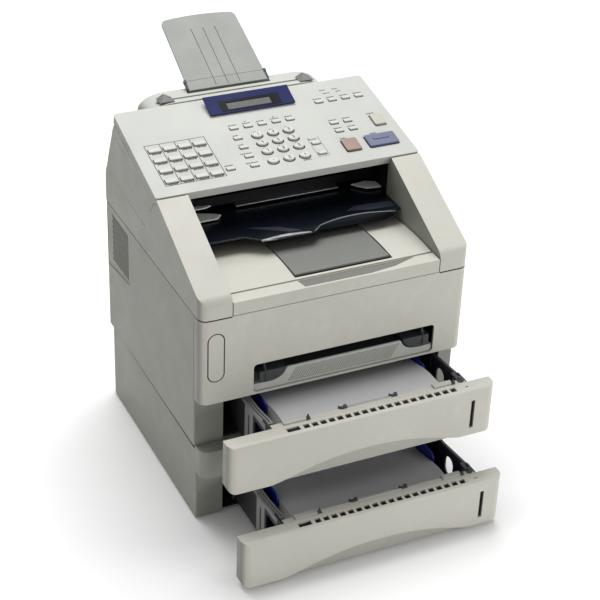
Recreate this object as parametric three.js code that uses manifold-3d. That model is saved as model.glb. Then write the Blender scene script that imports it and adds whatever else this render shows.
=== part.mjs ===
// Plain-paper laser fax machine standing on its second paper-tray unit, with both
// paper trays drawn part way out. Millimetres, +Z up, the front faces -Y.
// Heights are worked in a shop frame (x = 0 on the centre line, y = 0 on the front
// posts, z = 0 under the lower housing); the last lines move the origin to the
// middle of the resting face.
import * as THREE from "three";
import { mergeVertices } from "three/addons/utils/BufferGeometryUtils.js";
import Module from "manifold-3d";

const wasm = await Module();
wasm.setup();

// ---- driving dimensions -------------------------------------------------------
const HALF_WIDTH = 180; // half the width of the machine over its side covers
const UNIT_HALF = 177.5; // half the width of the lower paper-tray unit
const GAP = 0.4; // clearance between neighbouring pieces
const SKIN = 3; // wall of the moulded covers
const FACE = -20; // front faces of covers and closed drawers
const UNIT_TOP = 112; // top of the lower unit
const BODY_FLOOR = UNIT_TOP + GAP; // underside of the main machine
const COVER_FLOOR = 184; // bottom edge of the front cover
const BODY_TOP = 303; // seam under the two towers
const BODY_BACK = 325; // rear face of the main machine
const UNIT_BACK = 317; // rear face of the lower unit
const BAY_LEFT = -141; // inner edge of the left front posts
const UPPER_BAY_RIGHT = 160; // inner edge of the main machine's right post
const LOWER_BAY_RIGHT = 171; // inner edge of the lower unit's right post
const TOWER_INNER = 139; // half the clear width between the towers
const PANEL_TILT = THREE.MathUtils.degToRad(13.45);
const PANEL_FRONT = { y: 123, z: 396.1 }; // top front edge of the control panel
const PANEL_DEPTH = 169.4; // along the slope
const PANEL_SKIRT = 11; // height of the panel's rim
const PANEL_SKIN = 2.6;
const DRAWER_DROP = 70; // drawer top above its unit's underside
const DRAWER_THICK = 20; // front to back
const UPPER_PULL = 91; // how far the upper drawer is drawn out
const LOWER_PULL = 132.5; // how far the lower drawer is drawn out
const TRAY_LEFT = -119;
const TRAY_RIGHT = 150;
const TRAY_DEPTH = 311;
const PAPER = { left: -95, right: 121, front: 13, back: 308, thick: 29 };
const KEY_GAP = 0.6; // clearance of a key in its hole
const SUPPORT_TILT = THREE.MathUtils.degToRad(25.5);

// ---- finishes -----------------------------------------------------------------
const finish = (color, roughness, metalness = 0) => () =>
  new THREE.MeshStandardMaterial({ color, roughness, metalness });
const paleGrey = finish(0xd5d5cb, 0.55);
const panelWhite = finish(0xe4e5df, 0.5);
const sideGrey = finish(0xb9bab0, 0.6);
const darkPlastic = finish(0x1d1f22, 0.55);
const smokedPlastic = finish(0x141a26, 0.25);
const navyPlastic = finish(0x232a63, 0.35);
const displayGlass = finish(0x9fae9a, 0.2);
const supportGrey = finish(0x8b8d86, 0.5);
const keyGrey = finish(0xdadcd6, 0.5);
const stopRed = finish(0x9a6153, 0.45);
const startBlue = finish(0x5a63a8, 0.45);
const copyCream = finish(0xe6dfc4, 0.5);
const guideBlue = finish(0x1e2a86, 0.45);
const steel = finish(0xa9acae, 0.35, 0.9);
const rubber = finish(0x26272a, 0.85);
const paper = finish(0xf3f3ef, 0.9);
const boardGreen = finish(0x2c6b46, 0.6);

// ---- solid helpers ------------------------------------------------------------
function toSolid(geometry) {
  const plain = geometry.clone();
  plain.deleteAttribute("normal");
  plain.deleteAttribute("uv");
  const merged = mergeVertices(plain, 1e-4);
  return new wasm.Manifold(
    new wasm.Mesh({
      numProp: 3,
      vertProperties: new Float32Array(merged.attributes.position.array),
      triVerts: new Uint32Array(merged.index.array),
    }),
  );
}

function toGeometry(solid) {
  const mesh = solid.getMesh();
  const geometry = new THREE.BufferGeometry();
  const corners = new THREE.BufferAttribute(new Float32Array(mesh.vertProperties), 3);
  geometry.setAttribute("position", corners);
  geometry.setIndex(new THREE.BufferAttribute(new Uint32Array(mesh.triVerts), 1));
  return geometry;
}

function box(x0, x1, y0, y1, z0, z1) {
  const geometry = new THREE.BoxGeometry(x1 - x0, y1 - y0, z1 - z0);
  geometry.translate((x0 + x1) / 2, (y0 + y1) / 2, (z0 + z1) / 2);
  return toSolid(geometry);
}

const asShape = (points) => new THREE.Shape(points.map(([a, b]) => new THREE.Vector2(a, b)));

function extruded(shape, depth, curveSegments) {
  return new THREE.ExtrudeGeometry(shape, { depth, bevelEnabled: false, curveSegments });
}

// Outline in X and Y, raised from z0 to z1.
function prismZ(shape, z0, z1, curveSegments = 4) {
  const geometry = extruded(shape, z1 - z0, curveSegments);
  geometry.translate(0, 0, z0);
  return toSolid(geometry);
}

// Outline in Y and Z, run across from x0 to x1.
function prismX(shape, x0, x1, curveSegments = 4) {
  const geometry = extruded(shape, x1 - x0, curveSegments);
  const turn = new THREE.Matrix4().makeBasis(
    new THREE.Vector3(0, 1, 0),
    new THREE.Vector3(0, 0, 1),
    new THREE.Vector3(1, 0, 0),
  );
  geometry.applyMatrix4(turn);
  geometry.translate(x0, 0, 0);
  return toSolid(geometry);
}

// Outline in X and Z, run back from y0 to y1.
function prismY(shape, y0, y1, curveSegments = 4) {
  const geometry = extruded(shape, y1 - y0, curveSegments);
  geometry.rotateX(Math.PI / 2);
  geometry.translate(0, y1, 0);
  return toSolid(geometry);
}

// A round bar along X.
function barX(x0, x1, y, z, radius, sides = 20) {
  const geometry = new THREE.CylinderGeometry(radius, radius, x1 - x0, sides);
  geometry.rotateZ(Math.PI / 2);
  geometry.translate((x0 + x1) / 2, y, z);
  return toSolid(geometry);
}

function roundedRect(x0, x1, y0, y1, radius) {
  const shape = new THREE.Shape();
  shape.moveTo(x0 + radius, y0);
  shape.lineTo(x1 - radius, y0);
  shape.absarc(x1 - radius, y0 + radius, radius, -Math.PI / 2, 0);
  shape.lineTo(x1, y1 - radius);
  shape.absarc(x1 - radius, y1 - radius, radius, 0, Math.PI / 2);
  shape.lineTo(x0 + radius, y1);
  shape.absarc(x0 + radius, y1 - radius, radius, Math.PI / 2, Math.PI);
  shape.lineTo(x0, y0 + radius);
  shape.absarc(x0 + radius, y0 + radius, radius, Math.PI, 1.5 * Math.PI);
  return shape;
}

// A machine outline seen from above, with its own front and rear corner radii.
function planOutline(half, front, back, frontRadius, backRadius) {
  const shape = new THREE.Shape();
  shape.moveTo(-half + frontRadius, front);
  shape.lineTo(half - frontRadius, front);
  shape.absarc(half - frontRadius, front + frontRadius, frontRadius, -Math.PI / 2, 0);
  shape.lineTo(half, back - backRadius);
  shape.absarc(half - backRadius, back - backRadius, backRadius, 0, Math.PI / 2);
  shape.lineTo(-half + backRadius, back);
  shape.absarc(-half + backRadius, back - backRadius, backRadius, Math.PI / 2, Math.PI);
  shape.lineTo(-half, front + frontRadius);
  shape.absarc(-half + frontRadius, front + frontRadius, frontRadius, Math.PI, 1.5 * Math.PI);
  return shape;
}

const joined = (solids) => solids.reduce((whole, solid) => whole.add(solid));
const cutFrom = (solid, cutters) => cutters.reduce((left, cutter) => left.subtract(cutter), solid);

const machine = new THREE.Group();
const panelGroup = new THREE.Group();
panelGroup.position.set(0, PANEL_FRONT.y, PANEL_FRONT.z);
panelGroup.rotation.x = PANEL_TILT;
machine.add(panelGroup);

function piece(name, solid, material, parent = machine) {
  const mesh = new THREE.Mesh(toGeometry(solid), material());
  mesh.name = name;
  parent.add(mesh);
  return mesh;
}

// ---- lower paper-tray unit ----------------------------------------------------
const STRIP_FLOOR = 72; // bottom of the fixed strip above the lower drawer
const CORNER = 12; // vertical corner radius of the front faces
const REAR_CORNER = 28;

const FOOT = { height: 3, radius: 10, x: 150, y: [24, 284] };
function foot(x, y) {
  const profile = [
    [0, -FOOT.height],
    [FOOT.radius - 1, -FOOT.height],
    [FOOT.radius, -FOOT.height + 1],
    [FOOT.radius, 1],
    [0, 1],
  ].map(([r, h]) => new THREE.Vector2(r, h));
  const geometry = new THREE.LatheGeometry(profile, 16);
  geometry.rotateX(Math.PI / 2);
  geometry.translate(x, y, 0);
  return toSolid(geometry);
}

function lowerUnit() {
  const outline = planOutline(UNIT_HALF, 0, UNIT_BACK, 2, REAR_CORNER);
  const feet = FOOT.y.flatMap((y) => [foot(-FOOT.x, y), foot(FOOT.x, y)]);
  const shell = joined([prismZ(outline, 0, UNIT_TOP, 5), ...feet]);
  const bay = box(BAY_LEFT, LOWER_BAY_RIGHT, -1, UNIT_BACK - SKIN, SKIN, 100);
  const stripOutline = planOutline(UNIT_HALF, FACE, 2, CORNER, 1);
  const strip = prismZ(stripOutline, STRIP_FLOOR, UNIT_TOP, 3);
  const stripHollow = box(BAY_LEFT, LOWER_BAY_RIGHT, FACE + SKIN, 3, STRIP_FLOOR - 1, 100);
  const feedPath = box(-105, 125, 40, 60, 90, UNIT_TOP + 1);
  piece("lower_unit_housing", cutFrom(shell.add(strip), [bay, stripHollow, feedPath]), sideGrey);
}

// Two steel runners tied by a cross plate; the lower tray slides on them.
function lowerRails() {
  const runners = [TRAY_LEFT - 3.6, TRAY_RIGHT + 1.4].map((x) =>
    box(x, x + 2.2, 8, 300, SKIN + GAP, 22),
  );
  const plate = box(TRAY_LEFT - 3.6, TRAY_RIGHT + 3.6, 8, 300, SKIN + GAP, SKIN + GAP + 1.2);
  piece("lower_tray_runners", joined([plate, ...runners]), steel);
}

// ---- main body ----------------------------------------------------------------
const INLET = { left: 112, right: 140, floor: 196, top: 218, depth: 24 };
function sideCover(name, side) {
  const outline = planOutline(HALF_WIDTH, 0, BODY_BACK, 2, REAR_CORNER + 2);
  const inner = planOutline(HALF_WIDTH - SKIN, SKIN, BODY_BACK - SKIN, 1, REAR_CORNER - 1);
  const ring = cutFrom(prismZ(outline, BODY_FLOOR, BODY_TOP - GAP, 5), [
    prismZ(inner, BODY_FLOOR - 1, BODY_TOP, 5),
  ]);
  const postEdge = side < 0 ? BAY_LEFT : UPPER_BAY_RIGHT;
  const other = side * 400;
  const beyondPost = box(
    Math.min(postEdge, -other),
    Math.max(postEdge, -other),
    -5,
    SKIN + 2,
    0,
    400,
  );
  const rearEdge = side * 100;
  const beyondRear = box(Math.min(rearEdge, -other), Math.max(rearEdge, -other), 5, 400, 0, 400);
  const inletHole = box(
    INLET.left - GAP,
    INLET.right + GAP,
    BODY_BACK - 10,
    BODY_BACK + 10,
    INLET.floor - GAP,
    INLET.top + GAP,
  );
  piece(name, cutFrom(ring, [beyondPost, beyondRear, inletHole]), sideGrey);
}

const WINDOW = { half: 88, floor: 134, top: 290 };
function rearPanel() {
  const sheet = box(-99.6, 99.6, BODY_BACK - SKIN, BODY_BACK, BODY_FLOOR, BODY_TOP - GAP);
  const window = box(-WINDOW.half, WINDOW.half, 300, 340, WINDOW.floor, WINDOW.top);
  piece("rear_panel", sheet.subtract(window), sideGrey);
}

function rearCover() {
  const half = WINDOW.half - GAP;
  const sheet = box(-half, half, BODY_BACK - 2.6, BODY_BACK, WINDOW.floor + GAP, WINDOW.top - GAP);
  const rim = box(-half, half, BODY_BACK - 8, BODY_BACK - 2, WINDOW.top - 8, WINDOW.top - 3);
  const grip = box(-20, 20, BODY_BACK - 1.2, BODY_BACK + 1, WINDOW.top - 16, WINDOW.top - 6);
  piece("rear_cover", sheet.add(rim).subtract(grip), sideGrey);
}

// Pressed and moulded frame that carries the upper paper tray and the print engine.
const DECK = { floor: 187, top: 190 };
const PICKUP = { y: 50, z: 188.4, radius: 11 }; // axis of the paper pick-up roller
function chassis() {
  const floor = box(-174, 174, 5, 318, BODY_FLOOR + GAP, BODY_FLOOR + 3);
  const left = box(BAY_LEFT - 5, BAY_LEFT - 2, 5, 318, BODY_FLOOR + GAP, 298);
  const right = box(UPPER_BAY_RIGHT + 2, UPPER_BAY_RIGHT + 5, 5, 318, BODY_FLOOR + GAP, 298);
  const deck = box(BAY_LEFT - 3, UPPER_BAY_RIGHT + 3, 20, 318, DECK.floor, DECK.top);
  const pickup = box(-44, 64, PICKUP.y - 15, PICKUP.y + 15, DECK.floor - 1, DECK.top + 1);
  const crossMember = box(BAY_LEFT - 3, UPPER_BAY_RIGHT + 3, 309, 312, DECK.floor, 298);
  const inside = planOutline(HALF_WIDTH - SKIN - 1, 4, BODY_BACK - SKIN - 1, 1, REAR_CORNER - 2);
  const inletRoom = box(INLET.left - 1, INLET.right + 1, 300, 320, INLET.floor - 1, INLET.top + 1);
  const frame = cutFrom(joined([floor, left, right, deck, crossMember]), [pickup, inletRoom]);
  piece("chassis_frame", frame.intersect(prismZ(inside, 100, 310, 5)), darkPlastic);
}

// ---- towers and the housing behind them ---------------------------------------
const TOWER_NOSE = { y: -12, z: 331 };
const TOWER_TOP = { y: 121, z: 394.6 };
const REST_TOP = { y: 124, z: 384.6 }; // underside of the control panel at its front
// Rear of the housing behind the panel, rounding down to the back face.
const HOUSING_CROWN = [
  [287, 421],
  [300, 406],
  [311, 387],
  [318, 362],
  [BODY_BACK, 330],
];
const BACK_WALL = 205; // wall behind the output tray
function housingProfile(inset) {
  const shape = new THREE.Shape();
  shape.moveTo(FACE + inset, BODY_TOP);
  shape.lineTo(FACE + inset, TOWER_NOSE.z - 13);
  shape.quadraticCurveTo(
    FACE + inset,
    TOWER_NOSE.z - 4 - inset,
    TOWER_NOSE.y + inset,
    TOWER_NOSE.z - inset,
  );
  shape.lineTo(TOWER_TOP.y - inset / 2, TOWER_TOP.z - inset);
  shape.lineTo(REST_TOP.y - inset / 2, REST_TOP.z - inset);
  for (const [y, z] of HOUSING_CROWN) {
    shape.lineTo(y - inset, z - inset);
  }
  shape.lineTo(BODY_BACK - inset, BODY_TOP);
  return shape;
}

function upperHousing() {
  const plan = prismZ(planOutline(HALF_WIDTH, FACE, BODY_BACK, CORNER, REAR_CORNER), 300, 430, 5);
  const outer = prismX(housingProfile(0), -HALF_WIDTH, HALF_WIDTH, 4).intersect(plan);
  const channel = box(-TOWER_INNER, TOWER_INNER, -50, BACK_WALL, 290, 440);
  const innerPlan = prismZ(
    planOutline(HALF_WIDTH - SKIN, FACE, BODY_BACK, CORNER - SKIN, REAR_CORNER - SKIN),
    290,
    430,
    5,
  );
  const lined = prismX(housingProfile(SKIN), -HALF_WIDTH, HALF_WIDTH, 4);
  const below = box(-HALF_WIDTH, HALF_WIDTH, FACE + SKIN, BODY_BACK - SKIN, 290, BODY_TOP + 0.1);
  const walls = [
    box(-TOWER_INNER - SKIN, TOWER_INNER + SKIN, -50, BACK_WALL + SKIN, 280, 440),
  ];
  const hollow = cutFrom(lined.add(below).intersect(innerPlan), walls);
  const passage = box(-110, 110, BACK_WALL - 1, BACK_WALL + SKIN + 1, 304, 330);
  piece("upper_housing", cutFrom(outer, [channel, hollow, passage]), paleGrey);
}

// Output tray: a lip across the front, a groove, then a gently crowned floor.
const LIP = { top: 321, back: -0.8 };
function outputTray() {
  const half = TOWER_INNER - GAP;
  const thick = 3;
  const top = new THREE.CatmullRomCurve3(
    [
      [2.4, 321],
      [34, 322.6],
      [61, 322.4],
      [88, 320.6],
      [116, 317],
      [150, 310],
      [BACK_WALL - GAP, 305.5],
    ].map(([y, z]) => new THREE.Vector3(0, y, z)),
  )
    .getPoints(14)
    .map((p) => [p.y, p.z]);
  const under = [...top].reverse().map(([y, z]) => [y, z - thick]);
  const floor = prismX(asShape([...top, ...under]), -half, half);
  const lipShape = asShape([
    [FACE, BODY_TOP + GAP],
    [FACE, LIP.top - 1.5],
    [FACE + 1.5, LIP.top],
    [LIP.back, LIP.top],
    [LIP.back, LIP.top - 2.2],
    [2.4, LIP.top - 2.2],
    [4.5, 319],
    [4.5, 318.4],
    [2.4, LIP.top - 5],
    [FACE + SKIN, LIP.top - 5],
    [FACE + SKIN, BODY_TOP + GAP],
  ]);
  const lip = prismX(lipShape, -half, half);
  const recess = box(FLAP.left - 0.8, FLAP.right + 0.8, FLAP.front - 0.8, FLAP.back + 0.8, 320.3, 330);
  piece("output_tray", lip.add(floor).subtract(recess), paleGrey);
}

const FLAP = { left: -46, right: 82, front: 9, back: 98 };
function outputFlap() {
  const shape = asShape([
    [FLAP.front, 321.2],
    [FLAP.front, 323.4],
    [FLAP.front + 2, 324.4],
    [61, 324.6],
    [FLAP.back - 4, 323.2],
    [FLAP.back, 321.8],
    [FLAP.back, 320.8],
  ]);
  piece("output_tray_flap", prismX(shape, FLAP.left, FLAP.right), paleGrey);
}

// ---- front cover with the manual feed slot -------------------------------------
const SLOT = { left: -110, right: 138, floor: 187, top: 227 };
const BLANK = { left: -170.6, right: -148.2, floor: 214.6, top: 283.3 };
function stadium(left, right, floor, top) {
  const radius = (right - left) / 2;
  return roundedRect(left, right, floor, top, radius - 0.01);
}

function frontCover() {
  const back = -GAP;
  const outline = planOutline(HALF_WIDTH, FACE, back, CORNER, 1);
  const inner = planOutline(HALF_WIDTH - SKIN, FACE + SKIN, back + 1, CORNER - SKIN, 0.5);
  const shell = prismZ(outline, COVER_FLOOR, BODY_TOP - GAP, 4);
  const hollow = prismZ(inner, COVER_FLOOR + SKIN, BODY_TOP - GAP - SKIN, 4);
  const slot = prismY(roundedRect(SLOT.left, SLOT.right, SLOT.floor, SLOT.top, 5), -60, 20, 3);
  const blank = prismY(stadium(BLANK.left, BLANK.right, BLANK.floor, BLANK.top), -25, -18.8, 5);
  const swingRelief = prismX(
    asShape([
      [-13, BODY_TOP - GAP],
      [1, BODY_TOP - GAP - 1.6],
      [1, BODY_TOP + 5],
      [-13, BODY_TOP + 5],
    ]),
    -HALF_WIDTH - 1,
    HALF_WIDTH + 1,
  );
  piece("front_cover", cutFrom(shell, [hollow, slot, blank, swingRelief]), paleGrey);
}

function blankingPlate() {
  const inset = 0.5;
  const plate = stadium(
    BLANK.left + inset,
    BLANK.right - inset,
    BLANK.floor + inset,
    BLANK.top - inset,
  );
  piece("blanking_plate", prismY(plate, FACE, -19.1, 5), paleGrey);
}

// Ribbed strip below the slot, lower at both ends, with a ramp leading inside.
const STRIP = { front: FACE + 2.5, back: 10, top: 211, endTop: 197, pocket: 44, thick: 2.4 };
function manualPlatform() {
  const { front, back, top, endTop, pocket, thick } = STRIP;
  const left = SLOT.left + 0.6;
  const right = SLOT.right - 0.6;
  const face = new THREE.Shape();
  face.moveTo(left, SLOT.floor + 0.6);
  face.lineTo(right, SLOT.floor + 0.6);
  face.lineTo(right, endTop);
  face.lineTo(right - pocket + 18, endTop);
  face.quadraticCurveTo(right - pocket + 3, endTop + 2, right - pocket, top);
  face.lineTo(left + pocket, top);
  face.quadraticCurveTo(left + pocket - 3, endTop + 2, left + pocket - 18, endTop);
  face.lineTo(left, endTop);
  const corners = roundedRect(left, right, SLOT.floor + 0.6, top + 20, 5);
  const plate = prismY(face, front, front + thick, 4).intersect(prismY(corners, front, 0, 3));
  const ramp = prismX(
    asShape([
      [front + 0.5, top],
      [back, top + 1.6],
      [back, top + 1.6 - thick],
      [front + 0.5, top - thick],
    ]),
    left + pocket,
    right - pocket,
  );
  const shelves = [
    box(left, left + pocket + 1, front + 0.5, back, endTop - thick, endTop),
    box(right - pocket - 1, right, front + 0.5, back, endTop - thick, endTop),
    box(left + pocket, left + pocket + 2, front + 0.5, back, endTop - thick, top - 0.5),
    box(right - pocket - 2, right - pocket, front + 0.5, back, endTop - thick, top - 0.5),
  ];
  piece("manual_feed_platform", joined([plate, ramp, ...shelves]), sideGrey);
}

// Sliding side guide: a lens-shaped grip in front, a base above the ramp and a fin.
const GUIDE = { front: FACE, thick: 2, base: STRIP.top + 2.2, finTop: 224 };
function manualGuide(name, outer, inner, finX) {
  const reach = inner - outer;
  const lens = new THREE.Shape();
  lens.moveTo(outer, GUIDE.base + 1.4);
  lens.lineTo(outer, 199.5);
  lens.quadraticCurveTo(outer + 0.2 * reach, 198, outer + 0.45 * reach, 198.6);
  lens.quadraticCurveTo(outer + 0.9 * reach, 202, inner, GUIDE.base + 1.4);
  const x0 = Math.min(outer, inner);
  const x1 = Math.max(outer, inner);
  const solid = joined([
    prismY(lens, GUIDE.front, GUIDE.front + GUIDE.thick, 4),
    box(x0, x1, GUIDE.front, 6, GUIDE.base, GUIDE.base + 1.4),
    box(finX - 1, finX + 1, FACE + 3, 6, GUIDE.base, GUIDE.finTop),
  ]);
  piece(name, solid, darkPlastic);
}

// ---- control panel, in its own tilted frame (x, s up the slope, n out) ----------
const POD = { left: -68, right: 74.5, front: 125, rise: 9 };
const BEZEL = { left: -57, right: 63.3, front: 131.8, back: 163.5 };
const DISPLAY = { left: -29.5, right: 32, front: 137, back: 148.5 };
const podHeight = (s) => (POD.rise * (s - POD.front)) / (PANEL_DEPTH - POD.front);
const KEY_ROWS = [82.4, 66, 48.9, 29.7];
const KEY_COLUMNS = [-12.3, 9.6, 31.4];
const DIGITS = ["1", "2", "3", "4", "5", "6", "7", "8", "9", "star", "0", "hash"];
const ONE_TOUCH = { columns: [-150, -130, -110, -90], rows: [26, 46, 66, 86] };
const SMALL_KEYS = [
  ...[0, 1, 2, 3, 4].map((i) => [-36 + 19.7 * i, 103.6]),
  ...[83.4, 64.6, 46.6, 28].map((s) => [-38.5, s]),
  ...[49.5, 29.2].map((s) => [55.5, s]),
  ...[82, 65].flatMap((s) => [96.2, 115.9].map((x) => [x, s])),
  ...[95.3, 114.7, 134.1, 153.5].map((x) => [x, 128]),
  [-70.4, 29.2],
];

function panelOutline(inset) {
  const front = HALF_WIDTH - inset;
  const rear = 175.4 - inset;
  const radius = 10;
  const shape = new THREE.Shape();
  shape.moveTo(-front + 2, inset);
  shape.lineTo(front - 2, inset);
  shape.lineTo(front, inset + 2);
  shape.lineTo(rear, PANEL_DEPTH - inset - radius);
  shape.absarc(rear - radius, PANEL_DEPTH - inset - radius, radius, 0, Math.PI / 2);
  shape.lineTo(-rear + radius, PANEL_DEPTH - inset);
  shape.absarc(-rear + radius, PANEL_DEPTH - inset - radius, radius, Math.PI / 2, Math.PI);
  shape.lineTo(-front, inset + 2);
  return shape;
}

function podWedge(left, right, front, back, sink) {
  return prismX(
    asShape([
      [front, -PANEL_SKIN],
      [front, podHeight(front) - sink],
      [back, podHeight(back) - sink],
      [back, -PANEL_SKIN],
    ]),
    left,
    right,
  );
}

const digitHole = (x, s, grow) => {
  const geometry = new THREE.CylinderGeometry(1, 1, 30, 16);
  geometry.scale(7.2 + grow, 1, 5.2 + grow);
  geometry.rotateX(Math.PI / 2);
  geometry.translate(x, s, 0);
  return toSolid(geometry);
};
const keyHole = (x, s, width, depth) =>
  box(x - width / 2, x + width / 2, s - depth / 2, s + depth / 2, -15, 20);

const BIG_KEYS = {
  stop_key: { x: 98.5, s: 34, width: 21, depth: 23, colour: stopRed },
  start_key: { x: 142, s: 34, width: 42, depth: 22.5, colour: startBlue },
  copy_key: { x: 155.5, s: 73.5, width: 16, depth: 22, colour: copyCream },
};

function controlPanel() {
  const rim = prismZ(panelOutline(0), -PANEL_SKIRT, 0, 5);
  const inside = prismZ(panelOutline(SKIN), -PANEL_SKIRT - 1, -PANEL_SKIN, 5);
  const pod = podWedge(POD.left, POD.right, POD.front, PANEL_DEPTH - 0.5, 0);
  const bezelSeat = podWedge(BEZEL.left, BEZEL.right, BEZEL.front, BEZEL.back, -3);
  const bezelFloor = podWedge(BEZEL.left - 1, BEZEL.right + 1, BEZEL.front - 1, BEZEL.back + 1, 2);
  const shell = rim.subtract(inside).add(pod);
  const holes = [
    bezelSeat.subtract(bezelFloor),
    ...KEY_ROWS.flatMap((s) => KEY_COLUMNS.map((x) => digitHole(x, s, KEY_GAP))),
    ...Object.values(BIG_KEYS).map((k) =>
      keyHole(k.x, k.s, k.width + 2 * KEY_GAP, k.depth + 2 * KEY_GAP),
    ),
    ...SMALL_KEYS.map(([x, s]) => keyHole(x, s, 12.2, 6.2)),
    ...ONE_TOUCH.rows.flatMap((s) => ONE_TOUCH.columns.map((x) => keyHole(x, s, 17.2, 8.2))),
  ];
  piece("control_panel", cutFrom(shell, holes), panelWhite, panelGroup);
}

function display() {
  const rim = podWedge(BEZEL.left + 0.3, BEZEL.right - 0.3, BEZEL.front + 0.3, BEZEL.back - 0.3, 0);
  const underneath = podWedge(BEZEL.left, BEZEL.right, BEZEL.front, BEZEL.back, 1.6);
  const plate = rim.subtract(underneath);
  const window = box(DISPLAY.left, DISPLAY.right, DISPLAY.front, DISPLAY.back, -5, 20);
  piece("display_bezel", plate.subtract(window), navyPlastic, panelGroup);
  const glassTop = podWedge(
    DISPLAY.left + 0.3,
    DISPLAY.right - 0.3,
    DISPLAY.front + 0.3,
    DISPLAY.back - 0.3,
    0.5,
  );
  piece("display_window", glassTop.subtract(underneath), displayGlass, panelGroup);
}

function digitKeys() {
  KEY_ROWS.forEach((s, row) => {
    KEY_COLUMNS.forEach((x, column) => {
      const cap = digitHole(x, s, 0).intersect(box(x - 20, x + 20, s - 20, s + 20, -4, 3));
      piece(`key_${DIGITS[3 * row + column]}`, cap, keyGrey, panelGroup);
    });
  });
}

function bigKeys() {
  for (const [name, k] of Object.entries(BIG_KEYS)) {
    const outline = roundedRect(
      k.x - k.width / 2,
      k.x + k.width / 2,
      k.s - k.depth / 2,
      k.s + k.depth / 2,
      2,
    );
    piece(name, prismZ(outline, -4, 3, 2), k.colour, panelGroup);
  }
}

// Moulded key mats: the caps of each group share one flexible web under the panel.
const WEB = { top: -3.2, floor: -4.6 };
function keyMats() {
  const caps = SMALL_KEYS.map(([x, s]) => box(x - 5.5, x + 5.5, s - 2.5, s + 2.5, WEB.floor, 1.8));
  const strips = [
    box(-46, 52, 99, 109, WEB.floor, WEB.top),
    box(-46, -31, 20, 109, WEB.floor, WEB.top),
    box(-78, -31, 24, 34, WEB.floor, WEB.top),
    box(47, 64, 20, 109, WEB.floor, WEB.top),
    box(60, 92, 99, 109, WEB.floor, WEB.top),
    box(84, 130, 58, 134, WEB.floor, WEB.top),
    box(84, 162, 120, 134, WEB.floor, WEB.top),
  ];
  piece("function_key_mat", joined([...strips, ...caps]), keyGrey, panelGroup);
  const oneTouch = ONE_TOUCH.rows.flatMap((s) =>
    ONE_TOUCH.columns.map((x) => box(x - 8, x + 8, s - 3.5, s + 3.5, WEB.floor, 1.8)),
  );
  const web = box(-162, -80, 18, 94, WEB.floor, WEB.top);
  piece("one_touch_key_mat", joined([web, ...oneTouch]), keyGrey, panelGroup);
}

// ---- document feeder -----------------------------------------------------------
const FEEDER = { front: 290.5, back: 328, half: 128, top: 436, floor: 400 };
function documentTray() {
  const shape = new THREE.Shape();
  shape.moveTo(-FEEDER.half, FEEDER.floor);
  shape.lineTo(FEEDER.half, FEEDER.floor);
  shape.lineTo(FEEDER.half, FEEDER.top - 22);
  shape.quadraticCurveTo(FEEDER.half - 4, FEEDER.top - 3, FEEDER.half - 36, FEEDER.top);
  shape.lineTo(-FEEDER.half + 36, FEEDER.top);
  shape.quadraticCurveTo(-FEEDER.half + 4, FEEDER.top - 3, -FEEDER.half, FEEDER.top - 22);
  const hump = prismY(shape, FEEDER.front, FEEDER.back, 6);
  const clearOf = HOUSING_CROWN.map(([y, z]) => [y + 0.6, z + 0.5]);
  const overHousing = prismX(asShape([[200, 330], [200, 421.5], ...clearOf]), -200, 200);
  const guideSlot = box(-118, 118, 300, 304, FEEDER.top - 4, FEEDER.top + 5);
  const seat = box(-64, 54, 311.2, 317.5, FEEDER.top - 5, FEEDER.top + 5);
  piece("document_tray", cutFrom(hump, [overHousing, guideSlot, seat]), panelWhite);
}

// Wedge-shaped guides that square the originals; their feet run in the slot.
const FENCE = { half: 10.5, front: 293, back: 311, height: 5.8 };
function documentGuide(name, x) {
  const face = asShape([
    [x - FENCE.half, FEEDER.top + 0.4],
    [x + FENCE.half, FEEDER.top + 0.4],
    [x + 1.5, FEEDER.top + FENCE.height],
    [x - 1.5, FEEDER.top + FENCE.height],
  ]);
  const slope = prismX(
    asShape([
      [FENCE.front, FEEDER.top],
      [FENCE.front, FEEDER.top + 1.5],
      [FENCE.back - 2, FEEDER.top + FENCE.height + 1],
      [FENCE.back, FEEDER.top + FENCE.height + 1],
      [FENCE.back, FEEDER.top],
    ]),
    x - 20,
    x + 20,
  );
  const wedge = prismY(face, FENCE.front, FENCE.back).intersect(slope);
  const foot = box(x - 6, x + 6, 300.6, 303.4, FEEDER.top - 3, FEEDER.top + 1);
  piece(name, wedge.add(foot), darkPlastic);
}

const SUPPORT = { width: 113, length: 128, thick: 3, hinge: { x: -5, y: 314.5, z: 436.2 } };
function documentSupport() {
  const half = SUPPORT.width / 2;
  const shape = new THREE.Shape();
  shape.moveTo(-half, 0);
  shape.lineTo(half, 0);
  shape.lineTo(half - 3, SUPPORT.length - 12);
  shape.quadraticCurveTo(half - 3, SUPPORT.length - 5, half - 10, SUPPORT.length - 3);
  shape.quadraticCurveTo(0, SUPPORT.length + 3, -half + 10, SUPPORT.length - 3);
  shape.quadraticCurveTo(-half + 3, SUPPORT.length - 5, -half + 3, SUPPORT.length - 12);
  const plate = prismZ(shape, 0, SUPPORT.thick, 5);
  const mesh = piece("document_support", plate, supportGrey);
  mesh.position.set(SUPPORT.hinge.x, SUPPORT.hinge.y, SUPPORT.hinge.z);
  mesh.rotation.x = SUPPORT_TILT;
}

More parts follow.
